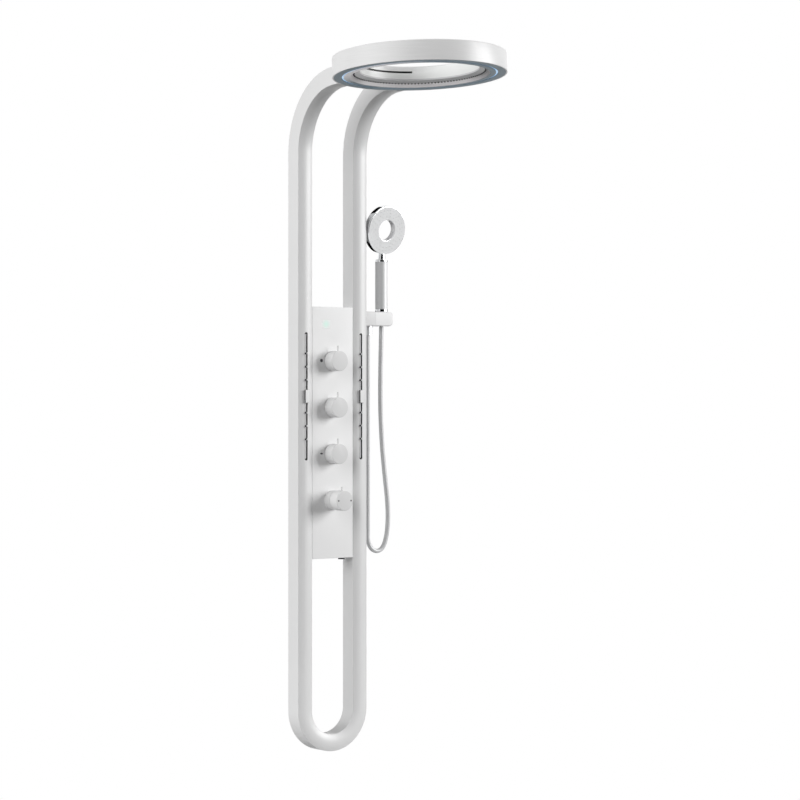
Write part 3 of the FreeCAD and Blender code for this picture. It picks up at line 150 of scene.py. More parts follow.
class ShowerColours(bpy.types.PropertyGroup):
    coat: FloatVectorProperty(
        name="Coating", description="White satin coating of the rails",
        subtype="COLOR", size=3, min=0, max=1, default=(0.72, 0.72, 0.72))
    ring: FloatVectorProperty(
        name="Ring", description="Brushed white coating of the ring's wall",
        subtype="COLOR", size=3, min=0, max=1, default=(0.74, 0.74, 0.74))
    # Painted light: the ring's inner wall is painted whiter than the rest of the ring.
    inner: FloatVectorProperty(
        name="Ring inside", description="Whiter coating of the ring's inner wall",
        subtype="COLOR", size=3, min=0, max=1, default=(0.90, 0.91, 0.90))
    knob: FloatVectorProperty(
        name="Knobs", description="White satin coating of the knobs and levers",
        subtype="COLOR", size=3, min=0, max=1, default=(0.675, 0.675, 0.675))
    panel: FloatVectorProperty(
        name="Panel", description="Brighter white of the control panel",
        subtype="COLOR", size=3, min=0, max=1, default=(0.84, 0.84, 0.84))
    moulding: FloatVectorProperty(
        name="Moulding", description="White of the moulded cradle and of the jet bars' fronts",
        subtype="COLOR", size=3, min=0, max=1, default=(0.82, 0.82, 0.82))
    rim: FloatVectorProperty(
        name="Ring rim", description="Slate underside of the ring",
        subtype="COLOR", size=3, min=0, max=1, default=(0.29, 0.38, 0.44))
    light: FloatVectorProperty(
        name="Ring light", description="Colour of the lit ring",
        subtype="COLOR", size=3, min=0, max=1, default=(0.28, 0.46, 0.67))
    band: FloatVectorProperty(
        name="Nozzle band", description="Grey of the nozzle band inside the lip",
        subtype="COLOR", size=3, min=0, max=1, default=(0.66, 0.66, 0.67))
    # This colour is also painted as light on one end of the ring's rim.
    lip: FloatVectorProperty(
        name="Nozzle lip", description="Pale bevel outside the nozzles",
        subtype="COLOR", size=3, min=0, max=1, default=(0.84, 0.82, 0.83))
    chrome: FloatVectorProperty(
        name="Chrome", description="Polished metal of head, neck, collars and nuts",
        subtype="COLOR", size=3, min=0, max=1, default=(0.78, 0.79, 0.80))
    grip: FloatVectorProperty(
        name="Grip", description="Satin metal of the grip",
        subtype="COLOR", size=3, min=0, max=1, default=(0.65, 0.655, 0.66))
    hose: FloatVectorProperty(
        name="Hose", description="Silver grey of the hose",
        subtype="COLOR", size=3, min=0, max=1, default=(0.64, 0.645, 0.65))
    # The display's colour is a painted glow, fading out towards the window's rim.
    display: FloatVectorProperty(
        name="Display", description="Mint colour in the middle of the display",
        subtype="COLOR", size=3, min=0, max=1, default=(0.66, 0.89, 0.80))
    mark: FloatVectorProperty(
        name="Marks", description="Dark grey of the printed marks",
        subtype="COLOR", size=3, min=0, max=1, default=(0.06, 0.06, 0.065))


class ShowerSizes(bpy.types.PropertyGroup):
    hose_diameter: FloatProperty(
        name="Hose diameter", description="Outside diameter of the hose",
        unit="LENGTH", default=0.011)
    hose_length: FloatProperty(
        name="Hose length", description="Length of the hose from nut to nut",
        unit="LENGTH", default=1.103)
    mark_depth: FloatProperty(
        name="Mark depth", description="Thickness of a printed mark",
        unit="LENGTH", default=0.00015)
    dot_diameter: FloatProperty(
        name="Dot diameter", description="Diameter of the round mark on the panel",
        unit="LENGTH", default=0.008)
    knob_mark_radius: FloatProperty(
        name="Knob mark radius", description="Radius of the thermostat knob's marks",
        unit="LENGTH", default=0.0021)
    knob_mark_offset: FloatProperty(
        name="Knob mark offset", description="Distance of the thermostat knob's marks from its axis",
        unit="LENGTH", default=0.018)


class ShowerStage(bpy.types.PropertyGroup):
    camera_place: FloatVectorProperty(
        name="Camera place", description="Where the camera stands",
        subtype="XYZ", unit="LENGTH", size=3, default=(-3.4503, -4.9412, 0.07825))
    camera_turn: FloatProperty(
        name="Camera turn", description="Turn of the camera from straight at the wall",
        subtype="ANGLE", unit="ROTATION", default=-0.6405)
    lens: FloatProperty(
        name="Lens", description="Focal length in millimetres", default=112.5)
    floor_drop: FloatProperty(
        name="Floor drop", description="Height of the floor, which is below the fixing",
        unit="LENGTH", default=-1.35)
    key_power: FloatProperty(
        name="Key power", description="Power of the right-hand light in watts", default=955.0)
    side_power: FloatProperty(
        name="Side power", description="Power of the left-hand light in watts", default=1230.0)
    sky: FloatProperty(
        name="Sky", description="Strength of the even light round the object", default=0.08)


# Steps that finishes are made of

def finish(name):
    """A new material, with its node tree and its main shader."""
    material = bpy.data.materials.new(name)
    material.use_nodes = True
    tree = material.node_tree
    return material, tree, tree.nodes["Principled BSDF"]


def own_place(tree, vector_type="POINT", **values):
    """Places on a piece in its own coordinates, moved, turned or stretched by a mapping."""
    place = tree.nodes.new("ShaderNodeTexCoord")
    mapping = tree.nodes.new("ShaderNodeMapping")
    mapping.vector_type = vector_type
    for key, value in values.items():
        mapping.inputs[key].default_value = value
    tree.links.new(place.outputs["Object"], mapping.inputs["Vector"])
    return mapping.outputs["Vector"]


def arithmetic(tree, operation, first, second):
    """Combine a socket with a number or with another socket."""
    node = tree.nodes.new("ShaderNodeMath")
    node.operation = operation
    tree.links.new(first, node.inputs[0])
    if isinstance(second, bpy.types.NodeSocket):
        tree.links.new(second, node.inputs[1])
    else:
        node.inputs[1].default_value = second
    return node.outputs["Value"]


def grain(tree, scale, detail=3.0, stretch=(1, 1, 1)):
    """Noise in the piece's own coordinates, in grains per metre."""
    noise = tree.nodes.new("ShaderNodeTexNoise")
    noise.inputs["Scale"].default_value = scale
    noise.inputs["Detail"].default_value = detail
    tree.links.new(own_place(tree, Scale=stretch), noise.inputs["Vector"])
    return noise.outputs["Fac"]


def off_axis(tree, centre, turn=(0, 0, 0), across=(1, 1, 0)):
    """Distance of a point from an axis through a centre, measured across it in turned coordinates."""
    flat = tree.nodes.new("ShaderNodeVectorMath")
    flat.operation = "MULTIPLY"
    flat.inputs[1].default_value = across
    length = tree.nodes.new("ShaderNodeVectorMath")
    length.operation = "LENGTH"
    tree.links.new(own_place(tree, "TEXTURE", Location=centre, Rotation=turn), flat.inputs[0])
    tree.links.new(flat.outputs["Vector"], length.inputs[0])
    return length.outputs["Value"]


def rise_between(tree, value, start, stop):
    """Zero below a start and one above a stop, with an even rise between them."""
    span = tree.nodes.new("ShaderNodeMapRange")
    span.inputs["From Min"].default_value = start
    span.inputs["From Max"].default_value = stop
    tree.links.new(value, span.inputs["Value"])
    return span.outputs["Result"]


def step_at(tree, distance, edge, blur):
    """Zero inside an edge and one outside it, with a short blur between."""
    return rise_between(tree, distance, edge - blur, edge + blur)


def ramp_between(tree, value, first, second, start, stop):
    """Go from one colour to another as a value rises from a start to a stop."""
    ramp = tree.nodes.new("ShaderNodeValToRGB")
    ends = ramp.color_ramp.elements
    ends[0].color = (*first, 1)
    ends[0].position = start
    ends[1].color = (*second, 1)
    ends[1].position = stop
    tree.links.new(value, ramp.inputs["Fac"])
    return ramp.outputs["Color"]


def mix_colours(tree, factor, first, second):
    """Go from one colour, a value or a socket, to another with a factor."""
    mix = tree.nodes.new("ShaderNodeMix")
    mix.data_type = "RGBA"
    tree.links.new(factor, mix.inputs["Factor"])
    for key, colour in (("A", first), ("B", second)):
        socket = [spot for spot in mix.inputs if spot.name == key and spot.type == "RGBA"][0]
        if isinstance(colour, bpy.types.NodeSocket):
            tree.links.new(colour, socket)
        else:
            socket.default_value = (*colour, 1)
    return [spot for spot in mix.outputs if spot.type == "RGBA"][0]


def tinted(tree, colour, source, spread):
    """A colour that a grain darkens and lightens by a share."""
    dark = [channel * (1 - spread) for channel in colour]
    pale = [min(1.0, channel * (1 + spread)) for channel in colour]
    return ramp_between(tree, source, dark, pale, start=0.3, stop=0.7)


def vary_colour(tree, shader, colour, source, spread):
    """Give a shader a colour that varies with a grain."""
    tree.links.new(tinted(tree, colour, source, spread), shader.inputs["Base Color"])


def vary_roughness(tree, shader, source, roughness):
    """Move the roughness between two values with a grain."""
    low, high = roughness
    span = tree.nodes.new("ShaderNodeMapRange")
    span.inputs["To Min"].default_value = low
    span.inputs["To Max"].default_value = high
    tree.links.new(source, span.inputs["Value"])
    tree.links.new(span.outputs["Result"], shader.inputs["Roughness"])


def raise_grain(tree, shader, source, strength, height=SKIN_HEIGHT):
    """Lift the surface by a grain."""
    bump = tree.nodes.new("ShaderNodeBump")
    bump.inputs["Strength"].default_value = strength
    bump.inputs["Distance"].default_value = height
    tree.links.new(source, bump.inputs["Height"])
    tree.links.new(bump.outputs["Normal"], shader.inputs["Normal"])


def moulded_skin(tree, shader, roughness):
    """Fine spark-eroded skin, as a mould leaves it."""
    skin = grain(tree, scale=900)
    vary_roughness(tree, shader, skin, roughness)
    raise_grain(tree, shader, skin, strength=0.4)


# Finishes

def coated_metal(name, colour, roughness):
    """Satin coating with a faint orange-peel skin."""
    material, tree, shader = finish(name)
    cloud = grain(tree, scale=9, detail=2.0)
    vary_colour(tree, shader, colour, cloud, spread=0.012)
    vary_roughness(tree, shader, cloud, roughness)
    raise_grain(tree, shader, grain(tree, scale=420, detail=2.0), strength=0.35)
    return material


def brushed_coating(name, colour, inner, centre, edge):
    """Satin coating drawn along the ring's wall, with painted light inside a radius: the inner wall is
    painted whiter.
    """
    material, tree, shader = finish(name)
    lines = grain(tree, scale=14, detail=4.0, stretch=(1, 1, 60))
    drawn = tinted(tree, colour, lines, spread=0.03)
    side = step_at(tree, off_axis(tree, centre), edge, blur=0.0004)
    tree.links.new(mix_colours(tree, side, inner, drawn), shader.inputs["Base Color"])
    vary_roughness(tree, shader, lines, (0.26, 0.44))
    raise_grain(tree, shader, lines, strength=0.3, height=DRAWN_HEIGHT)
    return material


def moulded_plastic(name, colour, roughness=(0.35, 0.5)):
    """Moulded plastic with a fine skin and a faint cloud of colour."""
    material, tree, shader = finish(name)
    vary_colour(tree, shader, colour, grain(tree, scale=30, detail=2.0), spread=0.03)
    moulded_skin(tree, shader, roughness)
    return material


def polished_metal(name, colour):
    """Chrome with faint wipe marks."""
    material, tree, shader = finish(name)
    shader.inputs["Metallic"].default_value = 1.0
    wipe = grain(tree, scale=60, detail=4.0, stretch=(1, 1, 0.25))
    vary_colour(tree, shader, colour, wipe, spread=0.02)
    vary_roughness(tree, shader, wipe, (0.05, 0.12))
    return material


def rimmed_chrome(name, colour, lining, centre):
    """Chrome outside a radius round the head's axis, and pale plastic in the hole inside it."""
    material, tree, shader = finish(name)
    distance = off_axis(tree, centre, HEAD_TURN, across=(1, 0, 1))
    side = step_at(tree, distance, HEAD_CHROME_EDGE, blur=0.0002)
    tree.links.new(mix_colours(tree, side, lining, colour), shader.inputs["Base Color"])
    tree.links.new(side, shader.inputs["Metallic"])
    wipe = grain(tree, scale=60, detail=4.0, stretch=(1, 1, 0.25))
    vary_roughness(tree, shader, wipe, (0.06, 0.14))
    return material


def turned_metal(name, colour, roughness, scale=40, lift=0.25, metallic=1.0):
    """Metal with fine turning lines round an upright axis."""
    material, tree, shader = finish(name)
    shader.inputs["Metallic"].default_value = metallic
    lines = grain(tree, scale, detail=4.0, stretch=(1, 1, 30))
    vary_colour(tree, shader, colour, lines, spread=0.05)
    vary_roughness(tree, shader, lines, roughness)
    raise_grain(tree, shader, lines, strength=lift)
    return material


def two_tone_band(name, inner, outer, centre, edge):
    """Moulded band inside a radius, and a pale lip with a metallic sheen outside it."""
    material, tree, shader = finish(name)
    side = step_at(tree, off_axis(tree, centre), edge, blur=0.0002)
    sheen_share = 0.35
    tree.links.new(mix_colours(tree, side, inner, outer), shader.inputs["Base Color"])
    tree.links.new(arithmetic(tree, "MULTIPLY", side, sheen_share), shader.inputs["Metallic"])
    moulded_skin(tree, shader, (0.28, 0.4))
    return material


def rim_with_painted_light(name, slate, painted_light_colour, centre, edge):
    """Slate rim with painted light from the lit ring: a pale colour and a faint glow inside a radius, at
    one end of X.
    """
    material, tree, shader = finish(name)
    split = tree.nodes.new("ShaderNodeSeparateXYZ")
    tree.links.new(own_place(tree), split.inputs["Vector"])
    start, stop = PAINTED_LIGHT_FADE
    fade = rise_between(tree, split.outputs["X"], start, stop)
    side = step_at(tree, off_axis(tree, centre), edge, blur=0.0004)
    # Painted light: the pale colour and the glow stand in for light from the lit ring, though the rim is no
    # lamp.
    pale = mix_colours(tree, fade, painted_light_colour, slate)
    painted_light_glow = mix_colours(tree, fade, painted_light_colour, BLACK)
    tree.links.new(mix_colours(tree, side, pale, slate), shader.inputs["Base Color"])
    tree.links.new(mix_colours(tree, side, painted_light_glow, BLACK), shader.inputs["Emission Color"])
    shader.inputs["Emission Strength"].default_value = 0.25
    shader.inputs["Specular IOR Level"].default_value = 0.15
    moulded_skin(tree, shader, (0.4, 0.5))
    return material


def lit_guide(name, colour):
    """Milky light guide whose glow varies a little along it."""
    material, tree, shader = finish(name)
    glow = tinted(tree, colour, grain(tree, scale=45, detail=1.0), spread=0.12)
    tree.links.new(glow, shader.inputs["Base Color"])
    tree.links.new(glow, shader.inputs["Emission Color"])
    shader.inputs["Emission Strength"].default_value = 0.8
    shader.inputs["Roughness"].default_value = 0.3
    return material


def soft_rubber(name, colour):
    """Silicone with a dry skin."""
    material, tree, shader = finish(name)
    skin = grain(tree, scale=700)
    vary_colour(tree, shader, colour, skin, spread=0.15)
    vary_roughness(tree, shader, skin, (0.45, 0.65))
    raise_grain(tree, shader, skin, strength=0.3)
    return material


def glow_painted_window(name, colour, edge, centre, half_width, half_height):
    """A window with a painted glow: coloured in the middle and fading to the panel's white at its rim."""
    material, tree, shader = finish(name)
    ball = tree.nodes.new("ShaderNodeTexGradient")
    ball.gradient_type = "SPHERICAL"
    place = own_place(tree, "TEXTURE", Location=centre, Scale=(half_width, 1, half_height))
    tree.links.new(place, ball.inputs["Vector"])
    glow = ramp_between(tree, ball.outputs["Fac"], edge, colour, start=0.12, stop=0.8)
    tree.links.new(glow, shader.inputs["Base Color"])
    shader.inputs["Roughness"].default_value = 0.25
    return material


def shade_painted_piece(name, side, front):
    """Painted shade on the sides and a pale front: faces that don't look forward are darkened as shade,
    following which way a face looks in the piece's own space.
    """
    material, tree, shader = finish(name)
    place = tree.nodes.new("ShaderNodeTexCoord")
    split = tree.nodes.new("ShaderNodeSeparateXYZ")
    tree.links.new(place.outputs["Normal"], split.inputs["Vector"])
    forward = arithmetic(tree, "MULTIPLY", split.outputs["Y"], -1.0)
    painted_shade_sides = ramp_between(tree, forward, side, front, start=0.7, stop=0.8)
    tree.links.new(painted_shade_sides, shader.inputs["Base Color"])
    raise_grain(tree, shader, grain(tree, scale=700), strength=0.3)
    shader.inputs["Roughness"].default_value = 0.45
    return material


def silver_sleeve(name, colour):
    """Smooth silver-grey sleeve of the hose, with a faint grain round it."""
    material, tree, shader = finish(name)
    shader.inputs["Metallic"].default_value = 0.1
    shader.inputs["Specular IOR Level"].default_value = 0.2
    sheen = grain(tree, scale=160, stretch=(1, 1, 3))
    vary_colour(tree, shader, colour, sheen, spread=0.05)
    vary_roughness(tree, shader, sheen, (0.24, 0.34))
    raise_grain(tree, shader, sheen, strength=0.25, height=DRAWN_HEIGHT)
    return material


# Steps that pieces are made by

def dress(material, *names):
    """Give CAD nodes a finish and smooth shading that keeps their sharp edges."""
    for name in names:
        node = NODES[name]
        node.data.materials.clear()
        node.data.materials.append(material)
        for face in node.data.polygons:
            face.use_smooth = True
        weld = node.modifiers.new("join_corners", "WELD")
        weld.merge_threshold = CORNER_DISTANCE
        split = node.modifiers.new("keep_edges", "EDGE_SPLIT")
        split.split_angle = SHARP_EDGE


def round_node(name):
    """Middle and outer radius of a round node of the ring, whose axis is at X = 0."""
    low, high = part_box(name)
    return (low + high) / 2, high.x


def start_piece():
    """Leave edit mode and clear the selection before a new piece."""
    if bpy.context.object is not None and bpy.context.object.mode != "OBJECT":
        bpy.ops.object.mode_set(mode="OBJECT")
    bpy.ops.object.select_all(action="DESELECT")


def settle(piece, name, material, body):
    """Put a new piece's place into its mesh, give it its finish and let it ride."""
    start_piece()
    piece.select_set(True)
    bpy.context.view_layer.objects.active = piece
    bpy.ops.object.transform_apply(location=True, rotation=True, scale=True)
    piece.name = name
    piece.data.name = name
    piece.data.materials.clear()
    piece.data.materials.append(material)
    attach(piece, body)


def print_mark(name, ink, body, place, radius, sides, stretch=1.0):
    """Print a thin mark with a soft rim on a front face, round or stretched along X."""
    x, front, z = place
    depth = bpy.context.scene.shower_sizes.mark_depth
    start_piece()
    bpy.ops.mesh.primitive_cylinder_add(
        vertices=sides, radius=radius, depth=depth,
        location=(x, front - depth / 2, z), rotation=(math.pi / 2, 0, 0))
    mark = bpy.context.object
    mark.scale.x = stretch
    bevel = mark.modifiers.new("soft_rim", "BEVEL")
    bevel.width = depth * MARK_BEVEL_SHARE
    bpy.ops.object.modifier_apply(modifier=bevel.name)
    settle(mark, name, ink, body)


# Steps that the stage is made by

def lay_floor(height):
    """A plain pale floor below the column."""
    start_piece()
    bpy.ops.mesh.primitive_plane_add(size=FLOOR_WIDTH, location=(0, FLOOR_MIDDLE, height))
    floor = bpy.context.object
    floor.name = "floor"
    pale, tree, shader = finish("pale_floor")
    vary_colour(tree, shader, FLOOR_WHITE, grain(tree, scale=6, detail=2.0), spread=0.01)
    shader.inputs["Roughness"].default_value = 0.9
    floor.data.materials.append(pale)


def white_room(scene, strength):
    """Even light from all round, which the camera, gloss and glass see as pure white."""
    world = bpy.data.worlds.new("white_room")
    world.use_nodes = True
    scene.world = world
    tree = world.node_tree
    even = tree.nodes["Background"]
    even.inputs["Color"].default_value = (1, 1, 1, 1)
    even.inputs["Strength"].default_value = strength
    white = tree.nodes.new("ShaderNodeBackground")
    white.inputs["Color"].default_value = (1, 1, 1, 1)
    rays = tree.nodes.new("ShaderNodeLightPath")
    seen = arithmetic(tree, "MAXIMUM", rays.outputs["Is Camera Ray"], rays.outputs["Is Glossy Ray"])
    seen = arithmetic(tree, "MAXIMUM", seen, rays.outputs["Is Transmission Ray"])
    mix = tree.nodes.new("ShaderNodeMixShader")
    tree.links.new(seen, mix.inputs["Fac"])
    tree.links.new(even.outputs["Background"], mix.inputs[1])
    tree.links.new(white.outputs["Background"], mix.inputs[2])
    tree.links.new(mix.outputs["Shader"], tree.nodes["World Output"].inputs["Surface"])


def soft_box(name, power, azimuth_deg, rise_deg, width, height):
    """A soft oblong light that looks at the column from a direction."""
    data = bpy.data.lights.new(name, "AREA")
    data.shape = "RECTANGLE"
    data.size = width
    data.size_y = height
    data.energy = power
    lamp = bpy.data.objects.new(name, data)
    turn = math.radians(azimuth_deg)
    rise = math.radians(rise_deg)
    way = Vector((math.cos(rise) * math.cos(turn), math.cos(rise) * math.sin(turn), math.sin(rise)))
    lamp.location = Vector(LIT_POINT) + LIGHT_DISTANCE * way
    lamp.rotation_euler = (-way).to_track_quat("-Z", "Y").to_euler()
    bpy.context.scene.collection.objects.link(lamp)
    return lamp


def dark_card(name, azimuth_deg, width_deg, distance, low, high):
    """An upright black card that only gloss sees, in a direction from the object."""
    angle = math.radians(azimuth_deg)
    width = 2 * distance * math.tan(math.radians(width_deg) / 2)
    start_piece()
    bpy.ops.mesh.primitive_plane_add(size=1.0)
    card = bpy.context.object
    card.name = name
    card.scale = (width, high - low, 1)
    card.rotation_euler = (math.pi / 2, 0, angle + math.pi / 2)
    card.location = (distance * math.cos(angle), distance * math.sin(angle), (low + high) / 2)
    black, _, shader = finish(name)
    shader.inputs["Base Color"].default_value = (*BLACK, 1)
    shader.inputs["Specular IOR Level"].default_value = 0.0
    card.data.materials.append(black)
    card.visible_camera = False
    card.visible_diffuse = False
    card.visible_transmission = False
    card.visible_shadow = False


def level_camera(scene, stage):
    """A level camera that sees the whole column from the front left."""
    lens = bpy.data.cameras.new("view")
    lens.lens = stage.lens
    lens.sensor_width = 36.0
    camera = bpy.data.objects.new("view", lens)
    camera.location = stage.camera_place
    camera.rotation_euler = (math.pi / 2, 0, stage.camera_turn)
    scene.collection.objects.link(camera)
    scene.camera = camera


# Operators

class SHOWER_OT_stage(bpy.types.Operator):
    """Set the pale floor, soft light, white surroundings and camera"""
    bl_idname = "shower.stage"
    bl_label = "Stage"

    def execute(self, context):
        scene = context.scene
        stage = scene.shower_stage
        scene.view_settings.view_transform = "Standard"
        lay_floor(stage.floor_drop)
        white_room(scene, stage.sky)
        soft_box("key", stage.key_power, azimuth_deg=-38, rise_deg=15, width=6.6, height=5.0)
        side = soft_box("side", stage.side_power, azimuth_deg=184, rise_deg=22, width=11.5, height=8.0)
        side.visible_glossy = False
        for card in DARK_CARDS:
            dark_card(*card)
        level_camera(scene, stage)
        return {"FINISHED"}


class SHOWER_OT_hose(bpy.types.Operator):
    """Hang the hose from the outlet to the cone nut along its route"""
    bl_idname = "shower.hose"
    bl_label = "Hose"

    def execute(self, context):
        sizes = context.scene.shower_sizes
        line = bpy.data.curves.new("hose_line", "CURVE")
        line.dimensions = "3D"
        line.resolution_u = 24
        spline = line.splines.new("NURBS")
        spline.points.add(len(HOSE_ROUTE) - 1)
        for spot, (x, z) in zip(spline.points, HOSE_ROUTE):
            spot.co = (x, HOSE_DEPTH, z, 1)
        spline.order_u = 3
        spline.use_endpoint_u = True
        hose = bpy.data.objects.new("hose_tube", line)
        context.scene.collection.objects.link(hose)
        context.view_layer.update()
        bare = bpy.data.meshes.new_from_object(hose)
        bpy.data.meshes.remove(bare)
        line.bevel_depth = sizes.hose_diameter / 2
        line.bevel_resolution = 8
        line.use_fill_caps = True
        start_piece()
        hose.select_set(True)
        context.view_layer.objects.active = hose
        bpy.ops.object.convert(target="MESH")
        hose = context.view_layer.objects.active
        bpy.ops.object.shade_smooth_by_angle(angle=math.radians(40))
        hose.data.materials.clear()
        hose.data.materials.append(silver_sleeve("silver_hose", context.scene.shower_colours.hose))
        x, z = HOSE_ROUTE[0]
        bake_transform(hose)
        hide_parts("hose")
        return {"FINISHED"}


class SHOWER_OT_coated_pieces(bpy.types.Operator):
    """Give the rails, ring, panel, knobs and holder their white coating, with painted light on the ring's
    inner wall
    """
    bl_idname = "shower.coated_pieces"
    bl_label = "Coated pieces"

    def execute(self, context):
        colours = context.scene.shower_colours
        satin = coated_metal("satin_coating", colours.coat, (0.30, 0.40))
        dress(satin, "left_rail", "right_rail", "bottom_bend", "outlet_block")
        dress(coated_metal("panel_coating", colours.panel, (0.32, 0.42)), "panel_cover")
        knob = coated_metal("knob_coating", colours.knob, (0.34, 0.46))
        dress(knob, "overhead_knob", "jet_knob", "hand_knob", "temperature_knob", "thermostat_sleeve",
              "overhead_lever", "jet_lever", "hand_lever", "safety_button")
        centre, radius = round_node("nozzle_ring")
        # Up to this edge the ring's inner wall is painted whiter, as painted light.
        inner_wall = radius - LIP_WIDTH - BAND_WIDTH + WALL_SKIN
        ring = brushed_coating("ring_coating", colours.ring, colours.inner, centre, inner_wall)
        dress(ring, "ring_shell")
        dress(moulded_plastic("white_moulding", colours.moulding, (0.28, 0.4)), "cradle")
        return {"FINISHED"}


class SHOWER_OT_metal_pieces(bpy.types.Operator):
    """Give the bare metal pieces their chrome, satin, brass and steel"""
    bl_idname = "shower.metal_pieces"
    bl_label = "Metal pieces"

    def execute(self, context):
        colours = context.scene.shower_colours
        dress(polished_metal("polished_chrome", colours.chrome), "handset_collars", "hose_cone_nut")
        low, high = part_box("handset_face")
        head = rimmed_chrome("head_chrome", colours.chrome, HOLE_LINING, (low + high) / 2)
        dress(head, "handset_head")
        nut = turned_metal("satin_nut", colours.chrome, (0.42, 0.5), scale=60, lift=0.04)
        dress(nut, "hose_outlet_nut")
        grip = turned_metal("satin_grip", colours.grip, (0.5, 0.56), scale=60, lift=0.04, metallic=0.25)
        dress(grip, "handset_grip")
        brass = turned_metal("machined_brass", BRASS, (0.25, 0.4))
        dress(brass, "manifold", "inlet_nipples", "arm_spigots",
              "stop_cartridges", "thermostat_cartridge", "cartridge_nuts",
              "overhead_spindle", "jet_spindle", "hand_spindle", "temperature_spindle")
        steel = turned_metal("plain_steel", STEEL, (0.3, 0.45), scale=30)
        dress(steel, "panel_screws", "frame_bolts", "holder_screws", "wall_brackets", "panel_back")
        return {"FINISHED"}


class SHOWER_OT_ring_underside(bpy.types.Operator):
    """Finish the ring's slate rim, light, nozzle band and waterfall"""
    bl_idname = "shower.ring_underside"
    bl_label = "Ring underside"

    def execute(self, context):
        # Finish the ring's slate rim with its painted light at one end, and the ring's light, nozzle band
        # and waterfall
        colours = context.scene.shower_colours
        centre, radius = round_node("light_diffuser")
        # The rim's painted light takes the lip's colour.
        rim = rim_with_painted_light("slate_rim", colours.rim, colours.lip, centre, radius - PAINTED_LIGHT_INSET)
        dress(rim, "ring_base", "ring_screws")
        dress(lit_guide("ring_light", colours.light), "light_diffuser")
        centre, radius = round_node("nozzle_ring")
        band = two_tone_band("nozzle_band", colours.band, colours.lip, centre, radius - LIP_WIDTH)
        dress(band, "nozzle_ring")
        dress(soft_rubber("spray_rubber", SPRAY_RUBBER), "spray_nozzles")
        dress(moulded_plastic("waterfall_black", TROUGH_BLACK), "waterfall_lip")
        return {"FINISHED"}


class SHOWER_OT_body_jets(bpy.types.Operator):
    """Finish the swinging jet bars and their nozzles, with painted shade on their sides, and the troughs"""
    bl_idname = "shower.body_jets"
    bl_label = "Body jets"

    def execute(self, context):
        # The bars' and nozzles' dark sides are painted shade.
        bar = shade_painted_piece("jet_bar_white", BAR_PAINTED_SHADE, context.scene.shower_colours.moulding)
        dress(bar, "left_jet_bar", "right_jet_bar")
        nozzle = shade_painted_piece("jet_nozzle", NOZZLE_PAINTED_SHADE, NOZZLE_FRONT)
        dress(nozzle, "left_jet_nozzles", "right_jet_nozzles")
        dress(moulded_plastic("trough_black", TROUGH_BLACK), "left_jet_trough", "right_jet_trough")
        return {"FINISHED"}


class SHOWER_OT_inner_pieces(bpy.types.Operator):
    """Finish the pipes and boards inside the column, the generator and the plug"""
    bl_idname = "shower.inner_pieces"
    bl_label = "Inner pieces"

    def execute(self, context):
        pipe = moulded_plastic("pipe_grey", PIPE_GREY)
        dress(pipe, "rail_sleeves", "water_channel",
              "overhead_feed_pipes", "hand_feed_pipe", "jet_feed_pipes")
        dress(moulded_plastic("board_green", BOARD_GREEN), "light_board", "display_board")
        dress(moulded_plastic("plug_black", PLUG_BLACK), "locking_plug", "flow_generator")
        return {"FINISHED"}


class SHOWER_OT_display(bpy.types.Operator):
    """Paint the display window's glow and finish the hand shower's face"""
    bl_idname = "shower.display"
    bl_label = "Display and face"

    def execute(self, context):
        colours = context.scene.shower_colours
        low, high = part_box("display_window")
        centre = ((low.x + high.x) / 2, low.y, (low.z + high.z) / 2)
        half_width = (high.x - low.x) / 2
        half_height = (high.z - low.z) / 2
        # The display's glow is painted into its colour.
        window = glow_painted_window(
            "display_glow", colours.display, colours.panel, centre, half_width, half_height)
        dress(window, "display_window")
        dress(moulded_plastic("face_grey", FACE_GREY, (0.25, 0.36)), "handset_face")
        return {"FINISHED"}


class SHOWER_OT_panel_marks(bpy.types.Operator):
    """Print the round and the long function mark beside two knobs"""
    bl_idname = "shower.panel_marks"
    bl_label = "Panel marks"

    def execute(self, context):
        radius = context.scene.shower_sizes.dot_diameter / 2
        ink = moulded_plastic("panel_ink", context.scene.shower_colours.mark, (0.4, 0.55))
        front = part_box("panel_cover")[0].y
        x, z = OVERHEAD_MARK
        print_mark("overhead_mark", ink, "column", (x, front, z), radius, sides=40)
        x, z = HAND_MARK
        print_mark("hand_mark", ink, "column", (x, front, z), radius / 2, sides=40, stretch=LONG_STRETCH)
        return {"FINISHED"}


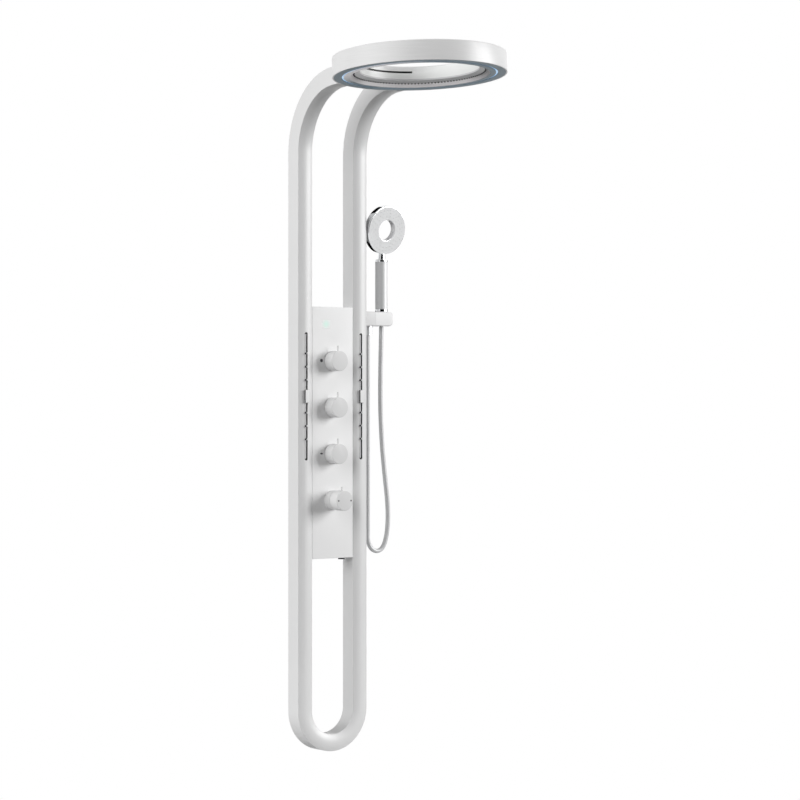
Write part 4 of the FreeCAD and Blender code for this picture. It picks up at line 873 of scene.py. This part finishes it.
class SHOWER_OT_knob_marks(bpy.types.Operator):
    """Print a warm and a cool mark on the thermostat knob's front"""
    bl_idname = "shower.knob_marks"
    bl_label = "Knob marks"

    def execute(self, context):
        sizes = context.scene.shower_sizes
        ink = moulded_plastic("knob_ink", context.scene.shower_colours.mark, (0.4, 0.55))
        low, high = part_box("temperature_knob")
        middle = (low.z + high.z) / 2
        for name, side in (("warm_mark", -1), ("cool_mark", 1)):
            place = (side * sizes.knob_mark_offset, low.y, middle)
            print_mark(name, ink, "temperature_knob", place, sizes.knob_mark_radius, sides=32)
        return {"FINISHED"}


class SHOWER_PT_column(bpy.types.Panel):
    """Lists the steps and values of the shower column"""
    bl_idname = "SHOWER_PT_column"
    bl_label = "Shower column"
    bl_space_type = "VIEW_3D"
    bl_region_type = "UI"
    bl_category = "Shower"

    def draw(self, context):
        for operator in STEPS:
            self.layout.operator(operator.bl_idname)
        for group in (context.scene.shower_colours, context.scene.shower_sizes, context.scene.shower_stage):
            for key in group.__annotations__:
                self.layout.prop(group, key)


STEPS = (
    SHOWER_OT_stage,
    SHOWER_OT_hose,
    SHOWER_OT_coated_pieces,
    SHOWER_OT_metal_pieces,
    SHOWER_OT_ring_underside,
    SHOWER_OT_body_jets,
    SHOWER_OT_inner_pieces,
    SHOWER_OT_display,
    SHOWER_OT_panel_marks,
    SHOWER_OT_knob_marks,
)
CLASSES = (ShowerColours, ShowerSizes, ShowerStage, *STEPS, SHOWER_PT_column)


def register():
    for kind in CLASSES:
        bpy.utils.register_class(kind)
    bpy.types.Scene.shower_colours = PointerProperty(type=ShowerColours)
    bpy.types.Scene.shower_sizes = PointerProperty(type=ShowerSizes)
    bpy.types.Scene.shower_stage = PointerProperty(type=ShowerStage)


def unregister():
    del bpy.types.Scene.shower_stage
    del bpy.types.Scene.shower_sizes
    del bpy.types.Scene.shower_colours
    for kind in reversed(CLASSES):
        bpy.utils.unregister_class(kind)


def main():
    register()
    bpy.ops.shower.stage()
    bpy.ops.shower.hose()
    bpy.ops.shower.coated_pieces()
    bpy.ops.shower.metal_pieces()
    bpy.ops.shower.ring_underside()
    bpy.ops.shower.body_jets()
    bpy.ops.shower.inner_pieces()
    bpy.ops.shower.display()
    bpy.ops.shower.panel_marks()
    bpy.ops.shower.knob_marks()


if __name__ == "__main__":
    main()
